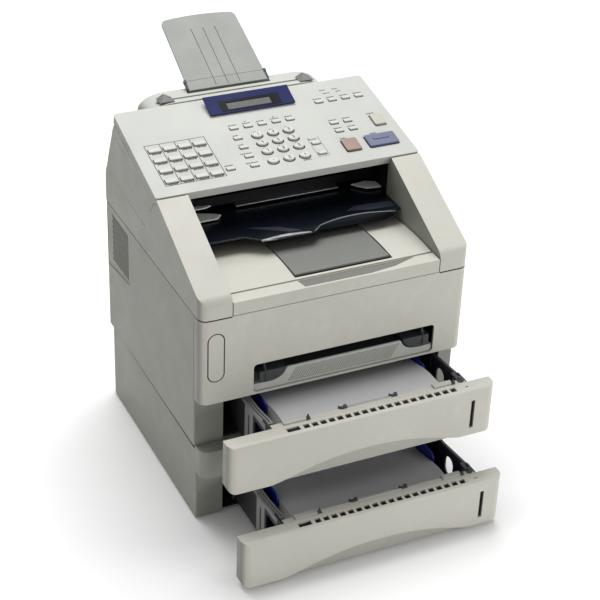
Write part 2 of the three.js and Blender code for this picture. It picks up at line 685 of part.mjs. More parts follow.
// Scalloped tray under the panel that catches the scanned originals.
function documentExitTray() {
  const shape = new THREE.Shape();
  shape.moveTo(-138, 200);
  shape.lineTo(-138, 90);
  shape.lineTo(-78, 88);
  shape.quadraticCurveTo(-62, 71, -40, 70);
  shape.lineTo(6, 68.6);
  shape.quadraticCurveTo(30, 91, 70, 91.5);
  shape.quadraticCurveTo(104, 89, 126, 82);
  shape.lineTo(138, 86);
  shape.lineTo(138, 200);
  piece("document_exit_tray", prismZ(shape, 338, 340.6, 5), smokedPlastic);
}

// Dark lower frame of the feeder, hanging under the panel, with its roller bay.
function feederFrame() {
  const shape = asShape([
    [168, 345],
    [168, 372],
    [176, 392],
    [BACK_WALL - 0.6, 399],
    [BACK_WALL - 0.6, 345],
  ]);
  const bar = prismX(shape, -TOWER_INNER + 0.6, TOWER_INNER - 0.6);
  const slot = box(-112, 112, 160, 200, 358, 366);
  const bay = box(-112, 112, 178, 198, 364, 390);
  piece("document_feed_frame", cutFrom(bar, [slot, bay]), darkPlastic);
}

function feedRoller() {
  const shaft = barX(-110.5, 110.5, 188, 372, 2.5, 10);
  const tyres = [-84, -28, 28, 84].map((x) => barX(x - 11, x + 11, 188, 372, 6, 16));
  piece("document_feed_roller", joined([shaft, ...tyres]), rubber);
}

// ---- paper trays ----------------------------------------------------------------
// floor: underside of the unit the tray belongs to; pull: how far it is drawn out.
const ARCH = { centre: 5, half: 135, rise: 21.5, layer: 5 };
function drawerFront(name, floor, pull, half) {
  const top = floor + DRAWER_DROP;
  const low = floor + 2;
  const face = FACE - pull;
  const slab = prismZ(planOutline(half, face, -pull, CORNER, 1), low, top, 4);
  const corners = prismY(roundedRect(-half, half, low, top + 20, 9), face - 5, 5, 4);
  const arch = new THREE.Shape();
  const side = ARCH.half;
  arch.moveTo(ARCH.centre - side, low - 1);
  const crown = low + ARCH.rise;
  const { centre } = ARCH;
  arch.bezierCurveTo(centre - side + 30, low + 2, centre - 75, crown, centre, crown);
  arch.bezierCurveTo(centre + 75, crown, centre + side - 30, low + 2, centre + side, low - 1);
  const window = box(146.6, 150.6, face - 5, face + 4, floor + 13, floor + 54);
  const cut = [prismY(arch, face - 5, face + ARCH.layer, 7), window];
  piece(name, cutFrom(slab.intersect(corners), cut), paleGrey);
}

function trayBody(name, floor, pull) {
  const low = floor + 5;
  const shelfTop = floor + DRAWER_DROP - 0.2;
  const wallTop = floor + 60;
  const outer = box(TRAY_LEFT, TRAY_RIGHT, GAP, TRAY_DEPTH, low, wallTop);
  const inner = box(TRAY_LEFT + 2.5, TRAY_RIGHT - 2.5, 3, TRAY_DEPTH - 2.5, low + 2.5, wallTop + 1);
  const shelf = prismX(
    asShape([
      [GAP, shelfTop - 14],
      [GAP, shelfTop],
      [7.5, shelfTop],
      [PAPER.front - 3, shelfTop - 2.5],
      [PAPER.front - 3, shelfTop - 9],
      [PAPER.front - 5, shelfTop - 4],
      [4, shelfTop - 3],
      [3, shelfTop - 14],
    ]),
    TRAY_LEFT,
    TRAY_RIGHT,
  );
  const apron = box(TRAY_LEFT + 20, TRAY_RIGHT - 20, GAP, 3, low, floor + 58);
  const ears = [TRAY_LEFT, TRAY_RIGHT - 2.5].map((x) =>
    box(x, x + 2.5, GAP, PAPER.front + 10, low, shelfTop - 0.5),
  );
  const ovalHole = roundedRect(52, 72, floor + 22, floor + 50, 9.9);
  const lighten = prismX(ovalHole, TRAY_RIGHT - 10, TRAY_RIGHT + 5, 4);
  const solid = cutFrom(outer, [inner]).add(shelf).add(apron).add(joined(ears)).subtract(lighten);
  piece(name, solid.translate([0, -pull, 0]), darkPlastic);
}

function liftPlate(name, plateZ, pull) {
  const plate = box(PAPER.left + 2, PAPER.right - 2, PAPER.front + 3, 300 - 2, plateZ, plateZ + 1.5);
  piece(name, plate.translate([0, -pull, 0]), steel);
}

function paperStack(name, plateZ, pull) {
  const low = plateZ + 1.9;
  const sheets = box(PAPER.left, PAPER.right, PAPER.front, PAPER.back, low, low + PAPER.thick);
  piece(name, sheets.translate([0, -pull, 0]), paper);
}

function trayGuide(name, floor, pull, x, side) {
  const low = floor + 8;
  const fence = box(Math.min(x, x + side * 2.2), Math.max(x, x + side * 2.2), 60, 190, low, floor + 62);
  const foot = box(Math.min(x, x + side * 12), Math.max(x, x + side * 12), 70, 180, low, low + 2);
  piece(name, fence.add(foot).translate([0, -pull, 0]), guideBlue);
}

function paperTray(which, floor, pull, plateZ, half) {
  drawerFront(`${which}_drawer_front`, floor, pull, half);
  trayBody(`${which}_tray_body`, floor, pull);
  liftPlate(`${which}_lift_plate`, plateZ, pull);
  paperStack(`${which}_paper_stack`, plateZ, pull);
  trayGuide(`${which}_paper_guide_left`, floor, pull, PAPER.left - 1, -1);
  trayGuide(`${which}_paper_guide_right`, floor, pull, PAPER.right + 1, 1);
}

// ---- working parts inside ---------------------------------------------------------
function pickupRoller() {
  const shaft = barX(-43, 63, PICKUP.y, PICKUP.z, 3, 10);
  const tyre = barX(-20, 40, PICKUP.y, PICKUP.z, PICKUP.radius, 20);
  piece("paper_pickup_roller", shaft.add(tyre), rubber);
}

function tonerCartridge() {
  const shape = new THREE.Shape();
  shape.moveTo(40, 200);
  shape.lineTo(150, 200);
  shape.absarc(150, 218, 18, -Math.PI / 2, Math.PI / 2);
  shape.lineTo(70, 262);
  shape.lineTo(40, 240);
  piece("toner_cartridge", prismX(shape, -130, 150, 6), darkPlastic);
}

function fuserUnit() {
  const housing = box(-132, 152, 215, 290, 200, 250);
  const throat = box(-120, 140, 205, 300, 220, 228);
  const ends = box(-140, 160, 205, 300, 200, 300).subtract(box(-128, 148, 200, 305, 190, 310));
  piece("fuser_unit", housing.subtract(throat).add(ends.intersect(housing)), steel);
}

function laserScanner() {
  const shape = asShape([
    [40, 272],
    [140, 272],
    [150, 280],
    [150, 296],
    [40, 296],
  ]);
  piece("laser_scanner", prismX(shape, -110, 130), darkPlastic);
}

function logicBoard() {
  const board = box(BAY_LEFT - 12, BAY_LEFT - 10.4, 60, 290, 140, 290);
  piece("main_logic_board", board, boardGreen);
}

function powerInlet() {
  const { left, right, floor, top, depth } = INLET;
  const wall = 3;
  const block = box(left, right, BODY_BACK - depth, BODY_BACK, floor, top);
  const mouth = box(
    left + wall,
    right - wall,
    BODY_BACK - depth + 6,
    BODY_BACK + 1,
    floor + wall,
    top - wall,
  );
  const prongs = [-6, 0, 6].map((shift) => {
    const x = (left + right) / 2 + shift;
    const z = (floor + top) / 2 + (shift === 0 ? 3 : -2);
    return box(x - 1, x + 1, BODY_BACK - depth + 4, BODY_BACK - 6, z - 2, z + 2);
  });
  piece("power_inlet", joined([block.subtract(mouth), ...prongs]), darkPlastic);
}

// ---- assembly -------------------------------------------------------------------
lowerUnit();
lowerRails();
sideCover("left_side_cover", -1);
sideCover("right_side_cover", 1);
rearPanel();
rearCover();
chassis();
upperHousing();
outputTray();
outputFlap();
frontCover();
blankingPlate();
manualPlatform();
manualGuide("manual_guide_left", -102, -66, -94.5);
manualGuide("manual_guide_right", 131, 94, 122.5);
controlPanel();
display();
digitKeys();
bigKeys();
keyMats();
documentTray();
documentGuide("document_guide_left", -99);
documentGuide("document_guide_right", 99);
documentSupport();
documentExitTray();
feederFrame();
feedRoller();
paperTray("upper", UNIT_TOP, UPPER_PULL, UNIT_TOP + 32, HALF_WIDTH);
paperTray("lower", 0, LOWER_PULL, 25, UNIT_HALF + 0.5);
pickupRoller();
tonerCartridge();
fuserUnit();
laserScanner();
logicBoard();
powerInlet();

machine.updateMatrixWorld(true);
const bounds = new THREE.Box3().setFromObject(machine, true);
const centre = bounds.getCenter(new THREE.Vector3());
const placed = new THREE.Group();
machine.position.set(-centre.x, -centre.y, -bounds.min.z);
placed.add(machine);
export default placed;
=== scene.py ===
"""Looks for a plain-paper laser fax machine standing on a second paper-tray unit.

Shapes are worked out in shop millimetres (x = 0 on the centre line, y = 0 on the front posts,
z = 0 under the lower housing) and moved into the row frame, in metres, by settle().
"""
import bpy
import bmesh
import math
from mathutils import Matrix, Vector


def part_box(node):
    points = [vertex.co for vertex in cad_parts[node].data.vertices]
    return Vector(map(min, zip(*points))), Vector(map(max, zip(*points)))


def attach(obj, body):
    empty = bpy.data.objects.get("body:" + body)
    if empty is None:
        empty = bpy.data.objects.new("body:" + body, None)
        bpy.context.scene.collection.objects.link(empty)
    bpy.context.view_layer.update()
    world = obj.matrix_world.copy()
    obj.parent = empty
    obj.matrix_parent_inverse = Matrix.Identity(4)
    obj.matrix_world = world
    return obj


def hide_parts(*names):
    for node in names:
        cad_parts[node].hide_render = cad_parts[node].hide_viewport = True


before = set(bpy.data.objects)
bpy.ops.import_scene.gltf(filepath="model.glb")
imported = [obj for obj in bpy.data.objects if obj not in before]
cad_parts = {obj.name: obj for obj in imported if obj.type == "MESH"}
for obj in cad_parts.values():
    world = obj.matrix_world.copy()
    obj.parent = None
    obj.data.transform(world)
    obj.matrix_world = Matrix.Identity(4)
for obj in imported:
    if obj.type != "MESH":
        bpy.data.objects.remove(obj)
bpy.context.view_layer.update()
scene = bpy.context.scene

# ---- driving dimensions, millimetres --------------------------------------------------------
MM = 0.001
ORIGIN = Vector((0.0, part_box("left_side_cover")[0].y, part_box("lower_drawer_front")[0].z - 2 * MM))
HALF_WIDTH = 180.0
UNIT_HALF = 177.5
GAP = 0.4
SKIN = 3.0
FACE = -20.0
UNIT_TOP = 112.0
BODY_FLOOR = UNIT_TOP + GAP
COVER_FLOOR = 184.0
BODY_TOP = 303.0
BODY_BACK = 325.0
UNIT_BACK = 317.0
BAY_LEFT = -141.0
UPPER_BAY_RIGHT = 160.0
LOWER_BAY_RIGHT = 171.0
TOWER_INNER = 139.0
BACK_WALL = 205.0
CORNER = 12.0
REAR_CORNER = 17.0
PANEL_TILT = math.radians(13.45)
PANEL_FRONT = Vector((0.0, 123.0, 396.1))
PANEL_DEPTH = 169.4
PANEL_SKIRT = 11.0
PANEL_SKIN = 2.6


# ---- outlines: lists of (u, v) points, millimetres -------------------------------------------
def arc(cu, cv, radius, start, end, steps=10):
    turn = [math.radians(start + (end - start) * i / steps) for i in range(steps + 1)]
    return [(cu + radius * math.cos(t), cv + radius * math.sin(t)) for t in turn]


def quad(p0, p1, p2, steps=10):
    points = []
    for i in range(steps + 1):
        t = i / steps
        a, b, c = (1 - t) ** 2, 2 * t * (1 - t), t * t
        points.append((a * p0[0] + b * p1[0] + c * p2[0], a * p0[1] + b * p1[1] + c * p2[1]))
    return points


def cubic(p0, p1, p2, p3, steps=16):
    points = []
    for i in range(steps + 1):
        t = i / steps
        w = ((1 - t) ** 3, 3 * t * (1 - t) ** 2, 3 * t * t * (1 - t), t ** 3)
        points.append(tuple(sum(k * p[j] for k, p in zip(w, (p0, p1, p2, p3))) for j in (0, 1)))
    return points


def smooth_through(knots, steps=5):
    """Catmull-Rom curve through the knots."""
    ends = [knots[0], *knots, knots[-1]]
    points = []
    for i in range(1, len(ends) - 2):
        p0, p1, p2, p3 = (Vector(ends[i + k]) for k in (-1, 0, 1, 2))
        for step in range(steps):
            t = step / steps
            spot = 0.5 * (2 * p1 + (p2 - p0) * t + (2 * p0 - 5 * p1 + 4 * p2 - p3) * t * t
                          + (3 * p1 - p0 - 3 * p2 + p3) * t ** 3)
            points.append(tuple(spot))
    points.append(tuple(knots[-1]))
    return points


def round_rect(u0, u1, v0, v1, radius, steps=8):
    return (arc(u1 - radius, v0 + radius, radius, -90, 0, steps)
            + arc(u1 - radius, v1 - radius, radius, 0, 90, steps)
            + arc(u0 + radius, v1 - radius, radius, 90, 180, steps)
            + arc(u0 + radius, v0 + radius, radius, 180, 270, steps))


def ellipse(cu, cv, ru, rv, steps=40):
    turn = [2 * math.pi * i / steps for i in range(steps)]
    return [(cu + ru * math.cos(t), cv + rv * math.sin(t)) for t in turn]


def plan_outline(half, front, back, front_radius, back_radius, steps=12):
    """A machine outline seen from above, with its own front and rear corner radii."""
    return (arc(half - front_radius, front + front_radius, front_radius, -90, 0, steps)
            + arc(half - back_radius, back - back_radius, back_radius, 0, 90, steps)
            + arc(-half + back_radius, back - back_radius, back_radius, 90, 180, steps)
            + arc(-half + front_radius, front + front_radius, front_radius, 180, 270, steps))


# ---- solids, in shop millimetres ---------------------------------------------------------------
def as_object(name, bm):
    bmesh.ops.remove_doubles(bm, verts=bm.verts, dist=1e-4)
    bmesh.ops.recalc_face_normals(bm, faces=bm.faces)
    mesh = bpy.data.meshes.new(name)
    bm.to_mesh(mesh)
    bm.free()
    obj = bpy.data.objects.new(name, mesh)
    scene.collection.objects.link(obj)
    return obj


AXES = {
    "X": lambda u, v, w: (w, u, v),
    "Y": lambda u, v, w: (u, w, v),
    "Z": lambda u, v, w: (u, v, w),
}


def prism(outline, axis, start, end, name="solid"):
    """Runs an outline along X (points are y, z), Y (x, z) or Z (x, y)."""
    place = AXES[axis]
    bm = bmesh.new()
    rings = [[bm.verts.new(place(u, v, w)) for u, v in outline] for w in sorted((start, end))]
    count = len(outline)
    bm.faces.new(rings[0])
    bm.faces.new(rings[1])
    for i in range(count):
        j = (i + 1) % count
        bm.faces.new((rings[0][i], rings[0][j], rings[1][j], rings[1][i]))
    return as_object(name, bm)


def block(x0, x1, y0, y1, z0, z1, name="block"):
    x0, x1 = sorted((x0, x1))
    return prism([(x0, y0), (x1, y0), (x1, y1), (x0, y1)], "Z", z0, z1, name)


def turned(profile, axis, centre, steps=32, name="turned"):
    """Turns a profile of (along, radius) points round a line through centre along an axis."""
    along_axis = "XYZ".index(axis)
    bm = bmesh.new()
    rings = []
    for along, radius in profile:
        ring = []
        for i in range(steps):
            t = 2 * math.pi * i / steps
            spot = [radius * math.cos(t), radius * math.sin(t)]
            spot.insert(along_axis, along)
            ring.append(bm.verts.new(Vector(spot) + Vector(centre)))
        rings.append(ring)
    bm.faces.new(rings[0])
    bm.faces.new(rings[-1])
    for a, b in zip(rings, rings[1:]):
        for i in range(steps):
            j = (i + 1) % steps
            bm.faces.new((a[i], a[j], b[j], b[i]))
    return as_object(name, bm)


def lofted(sections, name="loft"):
    """Skins closed sections of equal length, each a list of 3-D points, and caps both ends."""
    bm = bmesh.new()
    rings = [[bm.verts.new(p) for p in section] for section in sections]
    bm.faces.new(rings[0])
    bm.faces.new(rings[-1])
    for a, b in zip(rings, rings[1:]):
        for i in range(len(a)):
            j = (i + 1) % len(a)
            bm.faces.new((a[i], a[j], b[j], b[i]))
    return as_object(name, bm)


def gathered(objects, name):
    """Several separate solids in one mesh."""
    bm = bmesh.new()
    for obj in objects:
        bm.from_mesh(obj.data)
        bpy.data.objects.remove(obj)
    mesh = bpy.data.meshes.new(name)
    bm.to_mesh(mesh)
    bm.free()
    whole = bpy.data.objects.new(name, mesh)
    scene.collection.objects.link(whole)
    return whole


def combined(obj, others, operation):
    """Cuts, joins or intersects a solid with others, which are used up."""
    for other in others:
        modifier = obj.modifiers.new("combine", "BOOLEAN")
        modifier.operation = operation
        modifier.solver = "EXACT"
        modifier.object = other
    graph = bpy.context.evaluated_depsgraph_get()
    mesh = bpy.data.meshes.new_from_object(obj.evaluated_get(graph))
    obj.modifiers.clear()
    obj.data = mesh
    for other in others:
        bpy.data.objects.remove(other)
    return obj


def cut(obj, *others):
    return combined(obj, others, "DIFFERENCE")


def fused(obj, *others):
    return combined(obj, others, "UNION")


def common(obj, *others):
    return combined(obj, others, "INTERSECT")


PANEL_TO_SHOP = Matrix.Translation(PANEL_FRONT) @ Matrix.Rotation(PANEL_TILT, 4, "X")


def tilted(obj, matrix=PANEL_TO_SHOP):
    """Moves a solid made in the panel's own frame (x, s up the slope, n out) to its place."""
    obj.data.transform(matrix)
    return obj


def settle(obj, name, body, material, stands_for=(), bevel=0.7, segments=3, angle=28):
    """Moves a finished solid into the row frame, rounds its edges and puts it on its body."""
    obj.name = name
    obj.data.name = name
    obj.data.transform(Matrix.Translation(ORIGIN) @ Matrix.Scale(MM, 4))
    obj.data.materials.clear()
    obj.data.materials.append(material)
    finish_edges(obj, bevel, segments, angle)
    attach(obj, body)
    if stands_for:
        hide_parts(*stands_for)
    return obj


def trim(obj, name, material, bevel=0, segments=3, body="main_body"):
    """Settles a piece that is shown only, and stands for no CAD node."""
    return settle(obj, name, body, material, (), bevel, segments)


def finish_edges(obj, bevel, segments=3, angle=28):
    for polygon in obj.data.polygons:
        polygon.use_smooth = True
    merge = obj.modifiers.new("flat_faces", "DECIMATE")
    merge.decimate_type = "DISSOLVE"
    merge.angle_limit = math.radians(0.4)
    if bevel:
        rounding = obj.modifiers.new("edges", "BEVEL")
        rounding.width = bevel * MM
        rounding.segments = segments
        rounding.limit_method = "ANGLE"
        rounding.angle_limit = math.radians(angle)
        rounding.miter_outer = "MITER_ARC"
        rounding.harden_normals = False
    weighted = obj.modifiers.new("normals", "WEIGHTED_NORMAL")
    weighted.keep_sharp = False


def dress(node, material, bevel=0.5):
    """Gives a CAD node that is shown as it is its material and rounded edges."""
    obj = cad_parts[node]
    obj.data.materials.clear()
    obj.data.materials.append(material)
    finish_edges(obj, bevel, 2)
    return obj


# ---- materials -------------------------------------------------------------------------------------
def shader_tree(name):
    """A new material, its nodes, links and shader, and the object coordinates to lay patterns by."""
    material = bpy.data.materials.new(name)
    material.use_nodes = True
    nodes = material.node_tree.nodes
    links = material.node_tree.links
    place = nodes.new("ShaderNodeTexCoord").outputs["Object"]
    return material, nodes, links, nodes["Principled BSDF"], place


def noise(nodes, links, coordinates, scale, detail=3.0, roughness=0.5):
    texture = nodes.new("ShaderNodeTexNoise")
    texture.inputs["Scale"].default_value = scale
    texture.inputs["Detail"].default_value = detail
    texture.inputs["Roughness"].default_value = roughness
    links.new(coordinates, texture.inputs["Vector"])
    return texture.outputs["Fac"]


def ramp(nodes, links, source, stops):
    """A colour ramp; stops are (position, grey or colour)."""
    node = nodes.new("ShaderNodeValToRGB")
    while len(node.color_ramp.elements) < len(stops):
        node.color_ramp.elements.new(0.5)
    for element, (position, colour) in zip(node.color_ramp.elements, stops):
        element.position = position
        tone = (colour, colour, colour) if isinstance(colour, float) else colour
        element.color = (*tone, 1.0)
    links.new(source, node.inputs["Fac"])
    return node.outputs["Color"]


def blended(nodes, links, factor, a, b, mode="MIX"):
    """Mixes two colours; each is a socket or a colour."""
    node = nodes.new("ShaderNodeMix")
    node.data_type = "RGBA"
    node.blend_type = mode
    for value, socket in ((factor, "Factor"), (a, "A"), (b, "B")):
        found = [i for i in node.inputs if i.name == socket and i.enabled][0]
        if isinstance(value, bpy.types.NodeSocket):
            links.new(value, found)
        elif socket == "Factor":
            found.default_value = value
        else:
            found.default_value = (*value, 1.0)
    return [o for o in node.outputs if o.enabled][0]


def bricks(nodes, scale, mortar_size, first, second, mortar):
    """A brick pattern of three colours, for tracks and display cells."""
    texture = nodes.new("ShaderNodeTexBrick")
    texture.inputs["Scale"].default_value = scale
    texture.inputs["Mortar Size"].default_value = mortar_size
    for socket, colour in (("Color1", first), ("Color2", second), ("Mortar", mortar)):
        texture.inputs[socket].default_value = (*colour, 1.0)
    return texture


def bump(nodes, links, shader, height, strength, distance):
    node = nodes.new("ShaderNodeBump")
    node.inputs["Strength"].default_value = strength
    node.inputs["Distance"].default_value = distance
    links.new(height, node.inputs["Height"])
    links.new(node.outputs["Normal"], shader.inputs["Normal"])


def shade(colour, factor):
    return tuple(min(1.0, channel * factor) for channel in colour)


def facing(nodes, links, axis, start, end):
    """1 on walls that face along an axis, 0 elsewhere, with a soft change between start and end."""
    normal = nodes.new("ShaderNodeSeparateXYZ")
    links.new(nodes.new("ShaderNodeNewGeometry").outputs["Normal"], normal.inputs["Vector"])
    size = nodes.new("ShaderNodeMath")
    size.operation = "ABSOLUTE"
    links.new(normal.outputs[axis], size.inputs[0])
    return ramp(nodes, links, size.outputs["Value"], [(start, 0.0), (end, 1.0)])


def moulded(name, colour, roughness=0.5, grain=1.0, wear=1.0, coat=0.0, sides=None, gloss=0.42):
    """Moulded plastic: cloudy tone, fine spark-eroded grain, scuffed and slightly paler edges, and, given
    sides, a darker tone on walls facing along X that is painted shade.
    """
    material, nodes, links, shader, place = shader_tree(name)
    cloud = noise(nodes, links, place, 9.0, 4.0)
    speck = noise(nodes, links, place, 900.0, 2.0)
    tone = ramp(nodes, links, cloud, [(0.3, shade(colour, 0.965)), (0.7, shade(colour, 1.03))])
    specked = blended(nodes, links, 0.06 * grain, tone, speck, "OVERLAY")
    geometry = nodes.new("ShaderNodeNewGeometry")
    edge = ramp(nodes, links, geometry.outputs["Pointiness"], [(0.51, 0.0), (0.62, 1.0)])
    patchy = noise(nodes, links, place, 55.0, 5.0, 0.7)
    scuffs = ramp(nodes, links, patchy, [(0.48, 0.0), (0.72, 1.0)])
    worn = blended(nodes, links, 1.0, edge, scuffs, "MULTIPLY")
    dulled = nodes.new("ShaderNodeMath")
    dulled.operation = "MULTIPLY"
    dulled.inputs[1].default_value = 0.35 * wear
    links.new(worn, dulled.inputs[0])
    final = blended(nodes, links, dulled.outputs["Value"], specked, shade(colour, 1.25))
    # Painted shade: walls facing along X blend to the darker sides tone.
    if sides:
        flank_shade = ramp(nodes, links, cloud, [(0.3, shade(sides, 0.965)), (0.7, shade(sides, 1.03))])
        final = blended(nodes, links, facing(nodes, links, "X", 0.6, 0.92), final, flank_shade)
    links.new(final, shader.inputs["Base Color"])
    smears = noise(nodes, links, place, 22.0, 5.0, 0.65)
    low, high = max(0.05, roughness - 0.07), min(1.0, roughness + 0.09)
    finish = ramp(nodes, links, smears, [(0.3, low), (0.75, high)])
    links.new(finish, shader.inputs["Roughness"])
    texture = noise(nodes, links, place, 2300.0, 2.0)
    bump(nodes, links, shader, texture, 0.16 * grain, 0.0003)
    shader.inputs["Coat Weight"].default_value = coat
    shader.inputs["Coat Roughness"].default_value = 0.25
    shader.inputs["Specular IOR Level"].default_value = gloss
    return material


def sheet_metal(name, colour, roughness=0.35):
    material, nodes, links, shader, place = shader_tree(name)
    stretch = nodes.new("ShaderNodeMapping")
    stretch.inputs["Scale"].default_value = (4.0, 220.0, 220.0)
    links.new(place, stretch.inputs["Vector"])
    lines = noise(nodes, links, stretch.outputs["Vector"], 3.0, 4.0)
    tone = ramp(nodes, links, lines, [(0.25, shade(colour, 0.85)), (0.75, shade(colour, 1.12))])
    links.new(tone, shader.inputs["Base Color"])
    finish = ramp(nodes, links, lines, [(0.2, roughness - 0.08), (0.8, roughness + 0.12)])
    links.new(finish, shader.inputs["Roughness"])
    shader.inputs["Metallic"].default_value = 1.0
    bump(nodes, links, shader, lines, 0.12, 0.0002)
    return material


def paper_sheets(name):
    """Plain paper: fine fibre bump, and thin sheet edges on the sides of the stack."""
    material, nodes, links, shader, place = shader_tree(name)
    fibres = noise(nodes, links, place, 700.0, 5.0, 0.7)
    tone = ramp(nodes, links, fibres, [(0.3, (0.54, 0.545, 0.555)), (0.7, (0.59, 0.595, 0.60))])
    layers = nodes.new("ShaderNodeTexWave")
    layers.bands_direction = "Z"
    layers.inputs["Scale"].default_value = 900.0
    layers.inputs["Distortion"].default_value = 1.2
    layers.inputs["Detail"].default_value = 2.0
    links.new(place, layers.inputs["Vector"])
    edges = ramp(nodes, links, layers.outputs["Fac"], [(0.2, (0.40, 0.40, 0.40)), (0.7, (0.56, 0.56, 0.56))])
    flat = facing(nodes, links, "Z", 0.4, 0.6)
    links.new(blended(nodes, links, flat, edges, tone), shader.inputs["Base Color"])
    links.new(ramp(nodes, links, fibres, [(0.3, 0.82), (0.7, 0.95)]), shader.inputs["Roughness"])
    bump(nodes, links, shader, fibres, 0.15, 0.0002)
    return material


def soft_rubber(name):
    material, nodes, links, shader, place = shader_tree(name)
    dust = noise(nodes, links, place, 60.0, 5.0, 0.7)
    tone = ramp(nodes, links, dust, [(0.35, (0.018, 0.018, 0.019)), (0.8, (0.05, 0.05, 0.05))])
    links.new(tone, shader.inputs["Base Color"])
    links.new(ramp(nodes, links, dust, [(0.2, 0.7), (0.8, 0.95)]), shader.inputs["Roughness"])
    bump(nodes, links, shader, noise(nodes, links, place, 1500.0, 3.0), 0.3, 0.0003)
    return material


def circuit_board(name):
    """Green solder mask over darker tracks."""
    material, nodes, links, shader, place = shader_tree(name)
    tracks = bricks(nodes, 90.0, 0.03, (0.012, 0.11, 0.045), (0.018, 0.14, 0.06), (0.04, 0.24, 0.11))
    turn = nodes.new("ShaderNodeMapping")
    turn.inputs["Rotation"].default_value = (0.0, math.radians(90.0), 0.0)
    links.new(place, turn.inputs["Vector"])
    links.new(turn.outputs["Vector"], tracks.inputs["Vector"])
    links.new(tracks.outputs["Color"], shader.inputs["Base Color"])
    cloud = noise(nodes, links, place, 40.0)
    links.new(ramp(nodes, links, cloud, [(0.3, 0.3), (0.7, 0.45)]), shader.inputs["Roughness"])
    bump(nodes, links, shader, tracks.outputs["Fac"], 0.2, 0.0002)
    return material


def display_glass(name):
    """Unlit liquid-crystal window: grey-green, with its dot rows faintly showing."""
    material, nodes, links, shader, place = shader_tree(name)
    cells = bricks(nodes, 160.0, 0.08, (0.030, 0.034, 0.033), (0.033, 0.037, 0.036),
                   (0.038, 0.043, 0.041))
    links.new(place, cells.inputs["Vector"])
    cloud = noise(nodes, links, place, 30.0)
    tone = ramp(nodes, links, cloud, [(0.3, 0.92), (0.7, 1.0)])
    lit = blended(nodes, links, 1.0, cells.outputs["Color"], tone, "MULTIPLY")
    links.new(lit, shader.inputs["Base Color"])
    links.new(ramp(nodes, links, cloud, [(0.3, 0.16), (0.7, 0.26)]), shader.inputs["Roughness"])
    shader.inputs["Coat Weight"].default_value = 0.08
    shader.inputs["Coat Roughness"].default_value = 0.2
    shader.inputs["Specular IOR Level"].default_value = 0.2
    return material


def printed_ink(name, colour):
    material, nodes, links, shader, place = shader_tree(name)
    speckle = noise(nodes, links, place, 1800.0, 3.0)
    tone = ramp(nodes, links, speckle, [(0.3, shade(colour, 0.85)), (0.75, shade(colour, 1.25))])
    links.new(tone, shader.inputs["Base Color"])
    links.new(ramp(nodes, links, speckle, [(0.3, 0.5), (0.7, 0.65)]), shader.inputs["Roughness"])
    return material


# FLANK_SHADE is painted shade: a darker copy of the covers' grey, laid on walls that face along X and on the
# side shells.
FLANK_SHADE = (0.25, 0.255, 0.222)
PANEL = moulded("panel_plastic", (0.435, 0.443, 0.414), 0.5, sides=FLANK_SHADE)
COVER = moulded("cover_plastic", (0.50, 0.49, 0.435), 0.5, sides=FLANK_SHADE)
# The side shells, rear panel, rear cover and lower unit shell take the painted-shade flank tone.
SIDE_SHADED = moulded("side_plastic_painted_shade", FLANK_SHADE, 0.55)
# FLAP_SHADED: the flap's grey taken darker as painted shade, for the shadow of the document exit tray over
# it.
FLAP_SHADED = moulded("flap_plastic_painted_shade", (0.150, 0.155, 0.142), 0.5)
# RECESS_SHADE: a dark grey used as painted shade in the lip's scoop.
RECESS_SHADE = moulded("recess_plastic_painted_shade", (0.150, 0.152, 0.134), 0.5)
# COVER_PAINTED_SHADE: the cover grey taken darker, painted shade in the drawer fronts' grip recess.
COVER_PAINTED_SHADE = moulded("cover_painted_shade_plastic", (0.37, 0.365, 0.325), 0.5)
# TRAY: a dark cassette plastic, its tone taken darker still as painted shade inside the drawer openings.
TRAY = moulded("tray_plastic", (0.030, 0.031, 0.033), 0.5, gloss=0.3)
RAIL = moulded("rail_plastic", (0.26, 0.265, 0.26), 0.5)
GUIDE_GREY = moulded("document_guide_plastic", (0.12, 0.12, 0.115), 0.5)
SLATE = moulded("slate_plastic", (0.020, 0.024, 0.038), 0.5, gloss=0.2)
LIP_BLACK = moulded("lip_plastic", (0.003, 0.005, 0.009), 0.6, gloss=0.1)
# TAB_LIT: a pale grey raised above the panel plastic, painted light on the feeder exit tabs.
TAB_LIT = moulded("tab_plastic_painted_light", (0.80, 0.81, 0.77), 0.5)
# EDGE_HIGHLIGHT: a pale grey used as a painted highlight along the smoked tray's edges.
EDGE_HIGHLIGHT = moulded("edge_highlight_plastic", (0.145, 0.15, 0.162), 0.3, 0.3, 0.3, 0.4)
DARK = moulded("dark_plastic", (0.020, 0.021, 0.023), 0.5)
DEEP_BLACK = moulded("black_plastic", (0.005, 0.005, 0.006), 0.6, gloss=0.2)
GUIDE_DARK = moulded("guide_plastic", (0.042, 0.045, 0.050), 0.45)
SMOKED = moulded("smoked_plastic", (0.004, 0.006, 0.010), 0.25, 0.3, 0.3, 0.1, gloss=0.3)
SUPPORT_GREY = moulded("support_plastic", (0.24, 0.25, 0.23), 0.5)
NAVY = moulded("bezel_plastic", (0.012, 0.016, 0.080), 0.6, 0.4, 0.4, gloss=0.12)
BLACK_TRIM = moulded("trim_plastic", (0.006, 0.006, 0.010), 0.6, 0.4, 0.4, gloss=0.12)
KEY = moulded("key_plastic", (0.485, 0.492, 0.463), 0.45, 0.7)
STOP = moulded("stop_plastic", (0.255, 0.165, 0.135), 0.42, 0.7)
START = moulded("start_plastic", (0.090, 0.102, 0.185), 0.42, 0.7)
COPY = moulded("copy_plastic", (0.42, 0.41, 0.345), 0.45, 0.7)
BLUE = moulded("guide_blue_plastic", (0.012, 0.020, 0.26), 0.42)
STEEL = sheet_metal("plated_steel", (0.55, 0.56, 0.57))
PAPER = paper_sheets("plain_paper")
RUBBER = soft_rubber("roller_rubber")
BOARD = circuit_board("circuit_board")
